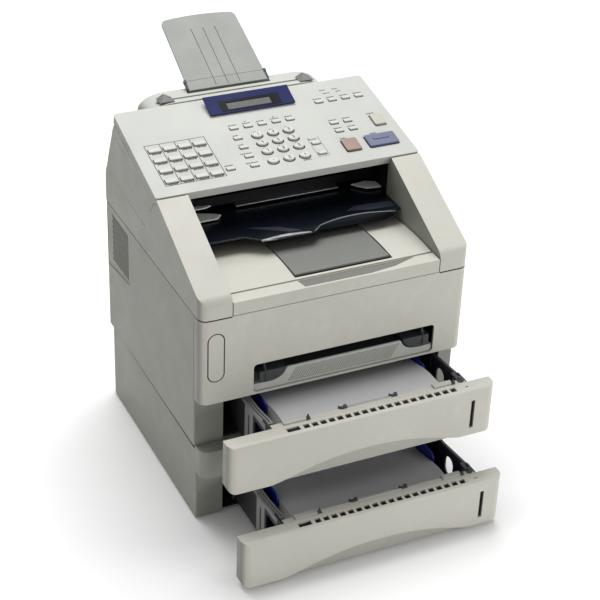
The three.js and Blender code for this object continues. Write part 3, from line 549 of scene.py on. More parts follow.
DISPLAY = display_glass("display_glass")
INK = printed_ink("printed_ink", (0.016, 0.016, 0.018))


# ---- lower paper-tray unit -----------------------------------------------------------------------
STRIP_FLOOR = 72.0
FOOT = {"height": 3.0, "radius": 10.0, "x": 150.0, "y": (24.0, 284.0)}


def lower_unit():
    shell = prism(plan_outline(UNIT_HALF, 0, UNIT_BACK, 2, REAR_CORNER), "Z", 0, UNIT_TOP)
    strip = prism(plan_outline(UNIT_HALF, FACE, 2, CORNER, 1), "Z", STRIP_FLOOR, UNIT_TOP)
    fused(shell, strip)
    cut(
        shell,
        block(BAY_LEFT, LOWER_BAY_RIGHT, -1, UNIT_BACK - SKIN, SKIN, 100),
        block(BAY_LEFT, LOWER_BAY_RIGHT, -1, 2.2, -1, SKIN + 1),
        block(BAY_LEFT, LOWER_BAY_RIGHT, FACE + SKIN, 3, STRIP_FLOOR - 1, 100),
        block(-105, 125, 40, 60, 90, UNIT_TOP + 1),
        *[prism(round_rect(x - 16, x + 16, 52, 74, 4), "Y", UNIT_BACK - 1.6, UNIT_BACK + 1)
          for x in (-120, 120)],
    )
    rebates, bands = [], []
    for side in (-1, 1):
        profile = [(3, 105.4), (150, 106.6), (296, 107.7), (296, 110.4), (3, 110.4)]
        rebates.append(prism(profile, "X", side * 175.9, side * 179))
        back = [(3.2, 105.5), (150, 106.7), (295.8, 107.8), (295.8, 110.3), (3.2, 110.3)]
        sill = [(3.2, 105.3), (150, 106.5), (295.8, 107.6), (295.8, 108.0), (150, 106.9), (3.2, 105.7)]
        bands.append(fused(
            prism(back, "X", side * 175.7, side * 176.3),
            prism(sill, "X", side * 175.7, side * 177.2)))
    cut(shell, *rebates)
    # Painted shadow: black backing and sill in the side seam rebates keep the seam dark.
    trim(gathered(bands, "bands"), "unit_seam_shadow_bands", DEEP_BLACK)
    settle(shell, "lower_unit_shell", "main_body", SIDE_SHADED, ["lower_unit_housing"], 0.8)
    radius, height = FOOT["radius"], FOOT["height"]
    rounds = [(-height, 0.5), (-height, radius - 1.6)]
    rounds += [(-height + 1.2 - 1.2 * math.cos(t), radius - 1.2 + 1.2 * math.sin(t))
               for t in (0.5, 1.0, 1.5)]
    rounds += [(0.4, radius - 0.2), (0.4, 0.5)]
    pads = [turned(rounds, "Z", (side * FOOT["x"], y, 0)) for side in (-1, 1) for y in FOOT["y"]]
    trim(gathered(pads, "feet"), "foot_pads", RUBBER, 0.2, 2)
    wall = 0.3
    left, right, back = BAY_LEFT + 0.1, LOWER_BAY_RIGHT - 0.1, UNIT_BACK - SKIN - 0.1
    # Painted shade: a dark sheet lining the inside of the tray bay.
    shade_lining = cut(block(left, right, 1.2, back, SKIN + 0.1, 99.9),
                 block(left + wall, right - wall, -1, back - wall, SKIN + 0.2, 99.9 - wall),
                 block(-104, 124, 39, 61, 95, 105))
    trim(shade_lining, "lower_bay_shade_lining", DARK)


# ---- main body -------------------------------------------------------------------------------------
VENT = {"front": 230.0, "back": 293.0, "pitch": 4.6, "hole": 1.95}
INLET = {"left": 112.0, "right": 140.0, "floor": 196.0, "top": 218.0, "depth": 24.0}


def vent_holes(x):
    """Staggered round holes whose field has a level top and a lower edge that rises to the front."""
    holes = []
    rows = 17
    for row in range(rows):
        z = 287.5 - row * VENT["pitch"] * 0.88
        y = VENT["front"] + 2 + (row % 2) * VENT["pitch"] / 2
        while y < VENT["back"]:
            share = (y - VENT["front"]) / (VENT["back"] - VENT["front"])
            if z > 222.0 - 12.0 * share:
                holes.append(turned([(x - 4, VENT["hole"]), (x + 4, VENT["hole"])], "X", (0, y, z), 8))
            y += VENT["pitch"]
    return gathered(holes, "vent_holes")


def side_cover(name, side):
    ring = prism(plan_outline(HALF_WIDTH, 0, BODY_BACK, 2, REAR_CORNER + 2), "Z", BODY_FLOOR,
                 BODY_TOP - 1.5)
    inner = prism(plan_outline(HALF_WIDTH - SKIN, SKIN, BODY_BACK - SKIN, 1, REAR_CORNER - 1), "Z",
                  BODY_FLOOR - 1, BODY_TOP)
    post = BAY_LEFT if side < 0 else UPPER_BAY_RIGHT
    far = -side * 400.0
    cut(
        ring,
        inner,
        block(post, far, -5, SKIN + 2, 0, 400),
        block(side * 100, far, 5, 400, 0, 400),
    )
    if side < 0:
        dish = [(VENT["front"] - 3, 290.5), (312, 294.5), (312, 206.0), (VENT["front"] - 3, 217.0)]
        cut(ring, prism(dish, "X", -HALF_WIDTH - 1, -HALF_WIDTH + 1.7))
        cut(ring, vent_holes(-HALF_WIDTH + 1.5))
        mesh_screen = block(-HALF_WIDTH + SKIN + 0.1, -HALF_WIDTH + SKIN + 0.6, VENT["front"] - 4,
                            VENT["back"] + 2, 203, 292)
        trim(mesh_screen, "vent_dust_screen", DARK)
    else:
        cut(ring, block(INLET["left"] - GAP, INLET["right"] + GAP, BODY_BACK - 10, BODY_BACK + 10,
                        INLET["floor"] - GAP, INLET["top"] + GAP))
    settle(ring, f"{name}_shell", "main_body", SIDE_SHADED, [name], 0.7)


WINDOW = {"half": 88.0, "floor": 134.0, "top": 290.0}


REAR_SCREWS = [(x, z) for x in (-94, 94) for z in (124, 296)]


def rear_panel():
    sheet = block(-99.6, 99.6, BODY_BACK - SKIN, BODY_BACK, BODY_FLOOR, BODY_TOP - GAP)
    cut(sheet, block(-WINDOW["half"], WINDOW["half"], 300, 340, WINDOW["floor"], WINDOW["top"]))
    screws = [turned([(BODY_BACK - 1.0, 3.4), (BODY_BACK + 1, 3.4)], "Y", (x, 0, z), 20)
              for x, z in REAR_SCREWS]
    cut(sheet, gathered(screws, "screw_wells"))
    settle(sheet, "rear_panel_sheet", "main_body", SIDE_SHADED, ["rear_panel"], 0.6)
    heads = []
    profile = [(BODY_BACK - 1.0, 0.4), (BODY_BACK - 1.0, 2.9), (BODY_BACK - 0.5, 2.8),
               (BODY_BACK - 0.1, 1.9), (BODY_BACK, 0.4)]
    for x, z in REAR_SCREWS:
        head = turned(profile, "Y", (x, 0, z), 20)
        heads.append(cut(head, block(x - 2.2, x + 2.2, BODY_BACK - 0.6, BODY_BACK + 1, z - 0.4, z + 0.4),
                         block(x - 0.4, x + 0.4, BODY_BACK - 0.6, BODY_BACK + 1, z - 2.2, z + 2.2)))
    trim(gathered(heads, "screws"), "rear_panel_screws", STEEL)


def rear_cover():
    half = WINDOW["half"] - GAP
    low, high = WINDOW["floor"] + GAP, WINDOW["top"] - GAP
    sheet = prism(round_rect(-half, half, low, high, 1.5), "Y", BODY_BACK - 2.6, BODY_BACK)
    rim = block(-half + 1, half - 1, BODY_BACK - 8, BODY_BACK - 2, high - 8, high - 3)
    fused(sheet, rim)
    ribs = [block(-70, 70, BODY_BACK - 0.8, BODY_BACK + 1, z, z + 2.2) for z in range(160, 236, 9)]
    grip = prism(round_rect(-20, 20, high - 18, high - 7, 4), "Y", BODY_BACK - 1.4, BODY_BACK + 1)
    cut(sheet, grip, gathered(ribs, "ribs"))
    settle(sheet, "rear_cover_door", "rear_door", SIDE_SHADED, ["rear_cover"], 0.5)


# ---- towers and the housing behind them ------------------------------------------------------------
TOWER_NOSE = (-12.0, 331.0)
TOWER_TOP = (121.0, 394.6)
REST_TOP = (124.0, 384.6)
HOUSING_CROWN = [(287, 421), (295, 410), (302, 392), (310, 368), (317, 346), (BODY_BACK, 325)]


def housing_profile(inset):
    nose_y, nose_z = TOWER_NOSE
    front = FACE + inset
    points = [(front, BODY_TOP)]
    points += quad((front, nose_z - 13), (front, nose_z - 4 - inset), (nose_y + inset, nose_z - inset))
    points.append((TOWER_TOP[0] - inset / 2, TOWER_TOP[1] - inset))
    points.append((REST_TOP[0] - inset / 2, REST_TOP[1] - inset))
    crown = smooth_through([(y - inset, z - inset) for y, z in HOUSING_CROWN], 4)
    return points + crown + [(BODY_BACK - inset, BODY_TOP)]


def side_groove(side, start, end, width=1.1, depth=1.4):
    """A thin straight groove in a side wall, from start to end (y, z)."""
    a, b = Vector(start), Vector(end)
    off = (b - a).normalized().orthogonal() * width / 2
    outline = [tuple(a + off), tuple(b + off), tuple(b - off), tuple(a - off)]
    x = side * HALF_WIDTH
    return prism(outline, "X", x - depth, x + depth)


def seam_shadow_backing():
    """Dark band behind the seam between the lower covers and the towers' housing: painted shadow that keeps
    the seam gap dark.
    """
    band = prism(plan_outline(HALF_WIDTH - 1.7, FACE + 1.7, BODY_BACK - 1.7, CORNER - 1.7,
                              REAR_CORNER - 1.7), "Z", BODY_TOP - 3.2, BODY_TOP + 1.6)
    cut(band, prism(plan_outline(HALF_WIDTH - 2.5, FACE + 2.5, BODY_BACK - 2.5, CORNER - 2.5,
                                 REAR_CORNER - 2.5), "Z", BODY_TOP - 5, BODY_TOP + 5),
        block(-TOWER_INNER, TOWER_INNER, -40, 150, BODY_TOP - 5, BODY_TOP + 5),
        block(-200, 200, -40, 0.4, BODY_TOP - 5, BODY_TOP - 0.25))
    trim(band, "seam_shadow_band", DARK)


def side_taper(inset):
    """Limits the housing so its side walls lean in to the panel's narrower rear edge."""
    low = 180.5 - inset
    sections = []
    for y, lean in ((-40, 0.3), (125, 0.7), (250, 4.5), (332, 7.9)):
        half = low - lean
        waist = low - 0.65 * lean
        sections.append([(-low, y, 280), (low, y, 280), (low, y, 318), (waist, y, 352), (half, y, 402),
                         (half, y, 440), (-half, y, 440), (-half, y, 402), (-waist, y, 352), (-low, y, 318)])
    return lofted(sections, "taper")


def corner_nick(side):
    """The short dark slit below the panel's front corner."""
    return side_groove(side, (124, 394.5), (145, 368), 1.5, 1.8)


def rear_slit(side):
    """The long slit below the panel, which follows the leaning side wall."""
    sections = []
    for x, y, z in ((176.9, 226, 394.6), (174.5, 286, 404)):
        far, near = side * (x + 3), side * (x - 1.4)
        sections.append([(far, y, z - 0.7), (far, y, z + 0.7), (near, y, z + 0.7), (near, y, z - 0.7)])
    return lofted(sections, "slit")


def upper_housing():
    plan = prism(plan_outline(HALF_WIDTH, FACE, BODY_BACK, CORNER, REAR_CORNER), "Z", 300, 430)
    outer = common(prism(housing_profile(0), "X", -HALF_WIDTH, HALF_WIDTH), plan)
    inner_plan = prism(plan_outline(HALF_WIDTH - SKIN, FACE, BODY_BACK, CORNER - SKIN,
                                    REAR_CORNER - SKIN), "Z", 290, 430)
    hollow = fused(prism(housing_profile(SKIN), "X", -HALF_WIDTH, HALF_WIDTH),
                   block(-HALF_WIDTH, HALF_WIDTH, FACE + SKIN, BODY_BACK - SKIN, 290, BODY_TOP + 0.1))
    common(hollow, inner_plan)
    common(hollow, side_taper(SKIN))
    cut(hollow, block(-TOWER_INNER - SKIN, TOWER_INNER + SKIN, -50, BACK_WALL + SKIN, 280, 440))
    cut(
        outer,
        block(-TOWER_INNER, TOWER_INNER, -50, BACK_WALL, 290, 440),
        hollow,
        block(-110, 110, BACK_WALL - 1, BACK_WALL + SKIN + 1, 304, 330),
    )
    grooves = [side_groove(side, (162, 337.5), (272, 344), 1.3, 1.8) for side in (-1, 1)]
    grooves += [rear_slit(side) for side in (-1, 1)]
    common(outer, side_taper(0))
    cut(outer, *grooves, corner_nick(-1), corner_nick(1))
    settle(outer, "upper_housing_shell", "main_body", COVER, ["upper_housing"], 1.1, 4)
    # Painted shade: black lining on the towers' inner walls and the back wall of the output well.
    shade_lining = [block(x0, x1, 128, BACK_WALL - 1.2, 326, 383) for x0, x1 in
              ((-TOWER_INNER + 0.1, -TOWER_INNER + 0.4), (TOWER_INNER - 0.4, TOWER_INNER - 0.1))]
    shade_lining.append(block(-TOWER_INNER + 0.1, TOWER_INNER - 0.1, BACK_WALL - 0.4, BACK_WALL - 0.1, 306, 383))
    trim(gathered(shade_lining, "shade_lining"), "output_well_shade_lining", DEEP_BLACK)


LIP_TOP = 321.0
FLOOR_KNOTS = [(2.4, 321), (34, 322.6), (61, 322.4), (88, 320.6), (116, 317), (150, 310),
               (BACK_WALL - GAP, 305.5)]
FLAP = {"left": -46.0, "right": 82.0, "front": 9.0, "back": 98.0}


def output_tray():
    half = TOWER_INNER - 1.1
    top = smooth_through(FLOOR_KNOTS, 6)
    floor = prism(top + [(y, z - 3) for y, z in reversed(top)], "X", -half, half)
    lip = prism([(FACE, BODY_TOP + GAP), (FACE, LIP_TOP - 1.5), (FACE + 0.5, LIP_TOP - 0.5),
                 (FACE + 1.5, LIP_TOP), (-0.8, LIP_TOP), (-0.8, LIP_TOP - 2.2), (2.4, LIP_TOP - 2.2),
                 (4.5, 319), (4.5, 318.4), (2.4, LIP_TOP - 5), (FACE + SKIN, LIP_TOP - 5),
                 (FACE + SKIN, BODY_TOP + GAP)], "X", -half, half)
    fused(floor, lip)
    clear = 0.8
    recess = block(FLAP["left"] - clear, FLAP["right"] + 3.6, FLAP["front"] - 2.8,
                   FLAP["back"] + clear, 320.3, 330)
    cut(floor, recess)
    # Painted shadow: a black bed under the flap, so the gaps round it read dark.
    shadow_bed = block(FLAP["left"] - clear + 0.1, FLAP["right"] + 3.5, FLAP["front"] - 2.7, FLAP["back"] - 6,
                319.9, 320.7)
    trim(shadow_bed, "output_tray_recess_shadow", DEEP_BLACK)
    scoop = [(-47, -1.4), (-44, -17.2), (45, -17.2), (80, -12.5), (112, -1.4)]
    cut(floor, prism(scoop, "Z", LIP_TOP - 1.1, LIP_TOP + 5))
    # Painted shade: a dark insert lining the scoop in the lip.
    inner = [(-46.7, -1.5), (-43.8, -17.0), (44.9, -17.0), (79.9, -12.4), (111, -1.5)]
    trim(prism(inner, "Z", LIP_TOP - 1.3, LIP_TOP - 0.9), "output_tray_scoop_shade", RECESS_SHADE, 0.1, 2)
    seals = [block(x0, x1, FACE + 1.2, -3, BODY_TOP + 1.2, LIP_TOP - 1.2)
             for x0, x1 in ((-half - 0.9, -half - 0.1), (half + 0.1, half + 0.9))]
    trim(gathered(seals, "seals"), "output_tray_end_seals", DEEP_BLACK)
    settle(floor, "output_tray_floor", "main_body", COVER, ["output_tray"], 0.6)


def output_flap():
    outline = [(FLAP["front"], 321.2), (FLAP["front"], 323.2)]
    outline += quad((FLAP["front"], 323.2), (FLAP["front"], 324.3), (FLAP["front"] + 3, 324.45), 5)[1:]
    outline += quad((FLAP["front"] + 3, 324.45), (61, 325.1), (FLAP["back"] - 4, 323.2), 12)[1:]
    outline += [(FLAP["back"], 321.8), (FLAP["back"], 320.8)]
    flap = prism(outline, "X", FLAP["left"], FLAP["right"])
    # The flap takes the darkened grey, painted shade under the exit tray.
    settle(flap, "output_tray_stop", "exit_flap", FLAP_SHADED, ["output_tray_flap"], 0.4)


# ---- front cover with the manual feed slot ---------------------------------------------------------
SLOT = {"left": -110.0, "right": 138.0, "floor": 187.0, "top": 227.0}
BLANK = {"left": -170.6, "right": -148.2, "floor": 214.6, "top": 283.3}


def stadium(inset):
    left, right = BLANK["left"] + inset, BLANK["right"] - inset
    return round_rect(left, right, BLANK["floor"] + inset, BLANK["top"] - inset,
                      (right - left) / 2 - 0.01, 12)


def cover_rebate(inset, outset, low, high):
    """A band round the cover's top corners, between two distances in from its faces."""
    band = prism(plan_outline(HALF_WIDTH - outset, FACE + outset, 5, CORNER - outset, 1), "Z", low, high)
    core = prism(plan_outline(HALF_WIDTH - inset, FACE + inset, 6, CORNER - inset, 1), "Z", low - 1, high + 1)
    return cut(band, core, block(-TOWER_INNER, TOWER_INNER, -40, 10, low - 2, high + 2),
               block(-200, 200, -0.8, 10, low - 2, high + 2))


def front_cover():
    back = -GAP
    shell = prism(plan_outline(HALF_WIDTH, FACE, back, CORNER, 1), "Z", COVER_FLOOR, BODY_TOP - GAP)
    hollow = prism(plan_outline(HALF_WIDTH - SKIN, FACE + SKIN, back + 1, CORNER - SKIN, 0.5), "Z",
                   COVER_FLOOR + SKIN, BODY_TOP - GAP - SKIN)
    slot = prism(round_rect(SLOT["left"], SLOT["right"], SLOT["floor"], SLOT["top"], 5), "Y", -60, 20)
    relief = prism([(-13, BODY_TOP - GAP), (1, BODY_TOP - GAP - 1.6), (1, BODY_TOP + 5),
                    (-13, BODY_TOP + 5)], "X", -HALF_WIDTH - 1, HALF_WIDTH + 1)
    cut(shell, hollow, slot, prism(stadium(0), "Y", -25, -18.8), relief,
        cover_rebate(2.4, -4.0, BODY_TOP - 1.8, BODY_TOP + 1))
    # Painted shadow: a black strip in the rebate round the cover's top edge.
    trim(cover_rebate(2.3, 0.7, BODY_TOP - 1.85, BODY_TOP - 1.5), "cover_seam_shadow_strip", DEEP_BLACK,
         body="front_door")
    trim(prism(stadium(0.05), "Y", -18.97, -18.83), "cover_blank_shadow", DEEP_BLACK,
         body="front_door")
    settle(shell, "front_cover_door", "front_door", COVER, ["front_cover"], 0.7)
    plate = prism(stadium(1.4), "Y", FACE - 0.1, -19.0)
    settle(plate, "cover_blanking_plate", "front_door", COVER, ["blanking_plate"], 0.45)


STRIP = {"front": FACE + 2.5, "back": 10.0, "top": 211.0, "end_top": 197.0, "pocket": 44.0,
         "thick": 2.4}


def manual_platform():
    front, back, top, end_top, pocket, thick = (STRIP[k] for k in
                                                ("front", "back", "top", "end_top", "pocket", "thick"))
    left, right, low = SLOT["left"] + 0.6, SLOT["right"] - 0.6, SLOT["floor"] + 0.6
    face = arc(left + 5, low + 5, 5, 180, 270, 6) + arc(right - 5, low + 5, 5, 270, 360, 6)
    face += [(right, end_top)]
    face += quad((right - pocket + 18, end_top), (right - pocket + 3, end_top + 2), (right - pocket, top))
    face += quad((left + pocket, top), (left + pocket - 3, end_top + 2), (left + pocket - 18, end_top))
    face += [(left, end_top)]
    plate = prism(face, "Y", front, front + thick)
    ramp = prism([(front + 0.5, top), (back, top + 1.6), (back, top + 1.6 - thick),
                  (front + 0.5, top - thick)], "X", left + pocket, right - pocket)
    shelves = [
        block(left, left + pocket + 1, front + 0.5, back, end_top - thick, end_top),
        block(right - pocket - 1, right, front + 0.5, back, end_top - thick, end_top),
        block(left + pocket, left + pocket + 2, front + 0.5, back, end_top - thick, top - 0.5),
        block(right - pocket - 2, right - pocket, front + 0.5, back, end_top - thick, top - 0.5),
    ]
    fused(plate, *shelves)
    # Painted shade: the ramp takes the dark plastic so the slot behind the strip reads black.
    trim(ramp, "manual_feed_ramp_shaded", DARK, 0.3, 2, body="front_door")
    edge = prism([(front - 0.4, top - 2.4), (front - 0.4, top + 0.2), (front + 1.2, top + 1.2),
                  (front + 3, top + 0.6), (front + 3, top - 2.4)], "X", left + pocket + 1, right - pocket - 1)
    trim(edge, "manual_feed_edge", PANEL, 0.5, body="front_door")
    # Painted shadow: a dark wall behind the slot, where only shade would be seen.
    shade_wall = block(SLOT["left"] + 1, SLOT["right"] - 1, back + 0.8, back + 1.4, end_top + 2,
                       SLOT["top"] + 4)
    trim(shade_wall, "manual_feed_shade", DARK)
    ribs = []
    x = left + pocket + 2
    lean, width = 12.0, 1.5
    while x + lean < right - pocket - 1:
        foot, head = low + 2.2, top - 2.0
        ribs.append(prism([(x, foot), (x + width, foot), (x + lean + width, head), (x + lean, head)],
                          "Y", front - 1.0, front + 0.9))
        x += 3.6
    cut(plate, gathered(ribs, "grooves"))
    settle(plate, "manual_feed_shelf", "front_door", PANEL, ["manual_feed_platform"], 0.3, 2)


GUIDE_BASE = STRIP["top"] + 2.2


def manual_guide(node, body, outer, inner, fin_x):
    reach = inner - outer
    lens = [(outer, GUIDE_BASE + 1.4), (outer, 199.5)]
    lens += quad((outer, 199.5), (outer + 0.2 * reach, 198), (outer + 0.45 * reach, 198.6), 6)[1:]
    lens += quad((outer + 0.45 * reach, 198.6), (outer + 0.9 * reach, 202), (inner, GUIDE_BASE + 1.4))[1:]
    grip = prism(lens, "Y", FACE, FACE + 2)
    x0, x1 = sorted((outer, inner))
    fused(grip, block(x0, x1, FACE, 6, GUIDE_BASE, GUIDE_BASE + 1.4),
          block(fin_x - 1, fin_x + 1, FACE + 3, 6, GUIDE_BASE, 224))
    dish = prism(ellipse(outer + 0.42 * reach, 206, 0.24 * abs(reach), 3.6), "Y", FACE - 1, FACE + 0.6)
    cut(grip, dish)
    settle(grip, f"{node}_grip", body, GUIDE_DARK, [node], 0.4)
    side = 1 if reach > 0 else -1
    ridge = block(fin_x - 0.8, fin_x + 0.8, FACE - 0.5, FACE + 0.6, 200, GUIDE_BASE + 9)
    fused(ridge, block(fin_x, fin_x + side * 2, FACE - 0.5, FACE + 3.4, GUIDE_BASE + 1.2, GUIDE_BASE + 3))
    trim(ridge, f"{node}_ridge", TRAY, 0.25, body=body)


# ---- control panel, in its own tilted frame (x, s up the slope, n out) -----------------------------
POD = {"left": -68.0, "right": 74.5, "front": 125.0, "rise": 7.8, "step": 1.9, "flare": 9.0}
BEZEL = {"left": -57.0, "right": 63.3, "front": 131.8, "back": 163.5}
GLASS = {"left": -29.5, "right": 32.0, "front": 137.0, "back": 148.5}
KEY_ROWS = (82.4, 66.0, 48.9, 29.7)
KEY_COLUMNS = (-12.3, 9.6, 31.4)
DIGITS = ("1", "2", "3", "4", "5", "6", "7", "8", "9", "star", "0", "hash")
ONE_TOUCH_COLUMNS = (-150.0, -130.0, -110.0, -90.0)
ONE_TOUCH_ROWS = (26.0, 46.0, 66.0, 86.0)
TOP_KEYS = [(-36 + 19.7 * i, 103.6) for i in range(5)]
LEFT_KEYS = [(-38.5, s) for s in (83.4, 64.6, 46.6, 28.0)]
VOLUME_KEYS = [(55.5, s) for s in (49.5, 29.2)]
MODE_KEYS = [(x, s) for s in (82.0, 65.0) for x in (96.2, 115.9)]
REPORT_KEYS = [(x, 128.0) for x in (95.3, 114.7, 134.1, 153.5)]
SINGLE_KEY = [(-70.4, 29.2)]
SMALL_KEYS = TOP_KEYS + LEFT_KEYS + VOLUME_KEYS + MODE_KEYS + REPORT_KEYS + SINGLE_KEY
BIG_KEYS = {
    "stop_key": (98.5, 34.0, 21.0, 23.0),
    "start_key": (142.0, 34.0, 42.0, 22.5),
    "copy_key": (155.5, 73.5, 16.0, 22.0),
}
KEY_GAP = 0.6
DIGIT_RADII = (7.2, 5.2)
CAP_ROOT = -4.0
PANEL_REAR_HALF = 175.4


def pod_height(s):
    return POD["step"] + POD["rise"] * (s - POD["front"]) / (PANEL_DEPTH - POD["front"])


def pod_wedge(left, right, front, back, sink):
    return prism([(front, -PANEL_SKIN), (front, pod_height(front) - sink),
                  (back, pod_height(back) - sink), (back, -PANEL_SKIN)], "X", left, right)


def panel_outline(inset):
    front, rear, radius = HALF_WIDTH - inset, PANEL_REAR_HALF - inset, 5.0
    high = PANEL_DEPTH - inset
    return ([(-front + 2, inset), (front - 2, inset), (front, inset + 2)]
            + arc(rear - radius, high - radius, radius, 0, 90, 12)
            + arc(-rear + radius, high - radius, radius, 90, 180, 12) + [(-front, inset + 2)])


def panel_seat_shadow_strips():
    """Dark strips in the gap between the towers and the panel's front edge: painted shadow in that gap."""
    section = [(121.3, 393.4), (122.3, 393.4), (124.9, 384.9), (124.0, 384.7)]
    strips = [prism(section, "X", side * 139.4, side * 178.6) for side in (-1, 1)]
    trim(gathered(strips, "strips"), "panel_seat_shadow_strips", DEEP_BLACK)


def display_pod():
    """The raised wedge round the display; its left end leans outwards towards the rear."""
    front, back = POD["front"], PANEL_DEPTH - 0.5
    left, right, rise, flare = POD["left"], POD["right"], pod_height(back), POD["flare"]
    sections = [
        [(left, front, -PANEL_SKIN), (left, front, POD["step"]), (left, back, rise),
         (left - flare, back, 0.02), (left - flare, back, -PANEL_SKIN)],
        [(right, front, -PANEL_SKIN), (right, front, POD["step"]), (right, back, rise),
         (right + 1, back, 0.02), (right + 1, back, -PANEL_SKIN)],
    ]
    return lofted(sections, "pod")


def control_panel():
    shell = prism(panel_outline(0), "Z", -PANEL_SKIRT, 0)
    inside = prism(panel_outline(SKIN), "Z", -PANEL_SKIRT - 1, -PANEL_SKIN)
    cut(shell, inside)
    fused(shell, display_pod())
    seat = pod_wedge(BEZEL["left"], BEZEL["right"], BEZEL["front"], BEZEL["back"], -3)
    cut(seat, pod_wedge(BEZEL["left"] - 1, BEZEL["right"] + 1, BEZEL["front"] - 1,
                        BEZEL["back"] + 1, 2))
    holes = [prism(ellipse(x, s - 0.5, DIGIT_RADII[0] + 1.0, DIGIT_RADII[1] + 1.2), "Z", -15, 20)
             for s in KEY_ROWS for x in KEY_COLUMNS]
    holes += [prism(round_rect(x - w / 2 - KEY_GAP, x + w / 2 + KEY_GAP, s - d / 2 - 1.2,
                               s + d / 2 + KEY_GAP, 2.4, 5), "Z", -15, 20)
              for x, s, w, d in BIG_KEYS.values()]
    holes += [prism(round_rect(x - 6.2, x + 6.2, s - 3.9, s + 3.1, 1.8, 4), "Z", -15, 20)
              for x, s in SMALL_KEYS]
    holes += [prism(round_rect(x - 8.7, x + 8.7, s - 5.2, s + 4.1, 1.2, 3), "Z", -15, 20)
              for s in ONE_TOUCH_ROWS for x in ONE_TOUCH_COLUMNS]
    cut(shell, seat, gathered(holes, "key_holes"))
    panel_seat_shadow_strips()
    settle(tilted(shell), "control_panel_shell", "panel_lid", PANEL, ["control_panel"], 0.55, 3)


PRINT = 0.06


def printed(rects, name, material=None, body="panel_lid"):
    """Flat printed marks on the panel, each (x0, x1, s0, s1), a film thick."""
    films = [block(x0, x1, s0, s1, 0.0, PRINT) for x0, x1, s0, s1 in rects]
    settle(tilted(gathered(films, name)), name, body, material or INK, (), 0)


def caption(x, s, width, thick=0.85):
    """A row of short dashes in place of a word."""
    marks, left, count = [], x - width / 2, 0
    lengths = (1.6, 2.3, 1.2, 1.9, 2.6, 1.4)
    while left < x + width / 2 - 0.8:
        length = min(lengths[(count + int(abs(x) + s)) % len(lengths)], x + width / 2 - left)
        marks.append((left, left + length, s - thick, s + thick))
        left += length + 0.55
        count += 1
    return marks


def panel_printing():
    marks = []
    for x, s in TOP_KEYS:
        marks += caption(x, s + 6.0, 11.5)
    marks += caption(TOP_KEYS[1][0], 113.2, 3.0) + caption(TOP_KEYS[3][0], 113.2, 3.0)
    for x, s in LEFT_KEYS[:2]:
        marks += caption(x - 1.5, s + 5.4, 7.0)
    for x, s in LEFT_KEYS[2:]:
        marks += caption(x - 1.5, s + 5.6, 16.0)
    marks += caption(VOLUME_KEYS[0][0] - 1, 57.6, 12.0)
    for x, s in MODE_KEYS:
        marks += caption(x, s + 5.6, 11.0)
    for x, s in REPORT_KEYS:
        marks += caption(x, s + 6.0, 12.0)
    marks += caption(109.6, 149.9, 8.0) + caption(112.5, 143.0, 9.0)
    marks += caption(127.9, 149.2, 8.0) + caption(130.5, 143.5, 7.0)
    marks += caption(SINGLE_KEY[0][0], 35.6, 11.0)
    marks += caption(94, 49.3, 9.0) + caption(137, 49.3, 9.0) + caption(151, 88.6, 10.0)
    for s in KEY_ROWS[:3]:
        for x in KEY_COLUMNS:
            marks += caption(x, s + 7.4, 5.0)
    marks += caption(31.4, 21.4, 11.0)
    frame_left, frame_right = ONE_TOUCH_COLUMNS[0] - 10, ONE_TOUCH_COLUMNS[-1] + 10
    low, high = ONE_TOUCH_ROWS[0] - 8, ONE_TOUCH_ROWS[-1] + 12
    line = 0.9
    for i in range(5):
        x = frame_left + 20.0 * i
        marks.append((x - line / 2, x + line / 2, low, high))
    for s in ONE_TOUCH_ROWS:
        for x in ONE_TOUCH_COLUMNS:
            marks += caption(x + 1, s - 6.6, 13.0, 1.15)
    marks.append((frame_left, frame_right, high - line, high))
    marks.append((frame_left, frame_right, low, low + line))
    x0, x1, s0, s1 = 47.6, 63.4, 22.6, 60.6
    marks += [(x0, x0 + 0.5, s0, s1), (x1 - 0.5, x1, s0, s1), (x0, x1, s0, s0 + 0.5),
              (x0, x0 + 2.5, s1 - 0.5, s1), (x1 - 2.5, x1, s1 - 0.5, s1)]
    printed(marks, "panel_printing")


def key_cap(outline_at, height, crown, floor, steps=5, edge=0.9):
    """A cap with rounded shoulders; outline_at(shrink) gives its outline, drawn in by shrink."""
    sections = [[(x, s, floor) for x, s in outline_at(0.0)]]
    sections.append([(x, s, height - edge) for x, s in outline_at(0.0)])
    for i in range(1, steps + 1):
        t = math.pi / 2 * i / steps
        shrink = edge * (1 - math.cos(t))
        rise = height - edge + edge * math.sin(t)
        sections.append([(x, s, rise) for x, s in outline_at(shrink)])
    for i in (1, 2, 3):
        shrink = edge + i * crown[0] / 4
        rise = height + crown[1] * (1 - (1 - i / 4) ** 2)
        sections.append([(x, s, rise) for x, s in outline_at(shrink)])
    return lofted(sections)


SEGMENTS = {
    "0": "abcdef", "1": "bc", "2": "abged", "3": "abgcd", "4": "fgbc", "5": "afgcd",
    "6": "afgedc", "7": "abc", "8": "abcdefg", "9": "abcdfg",
}


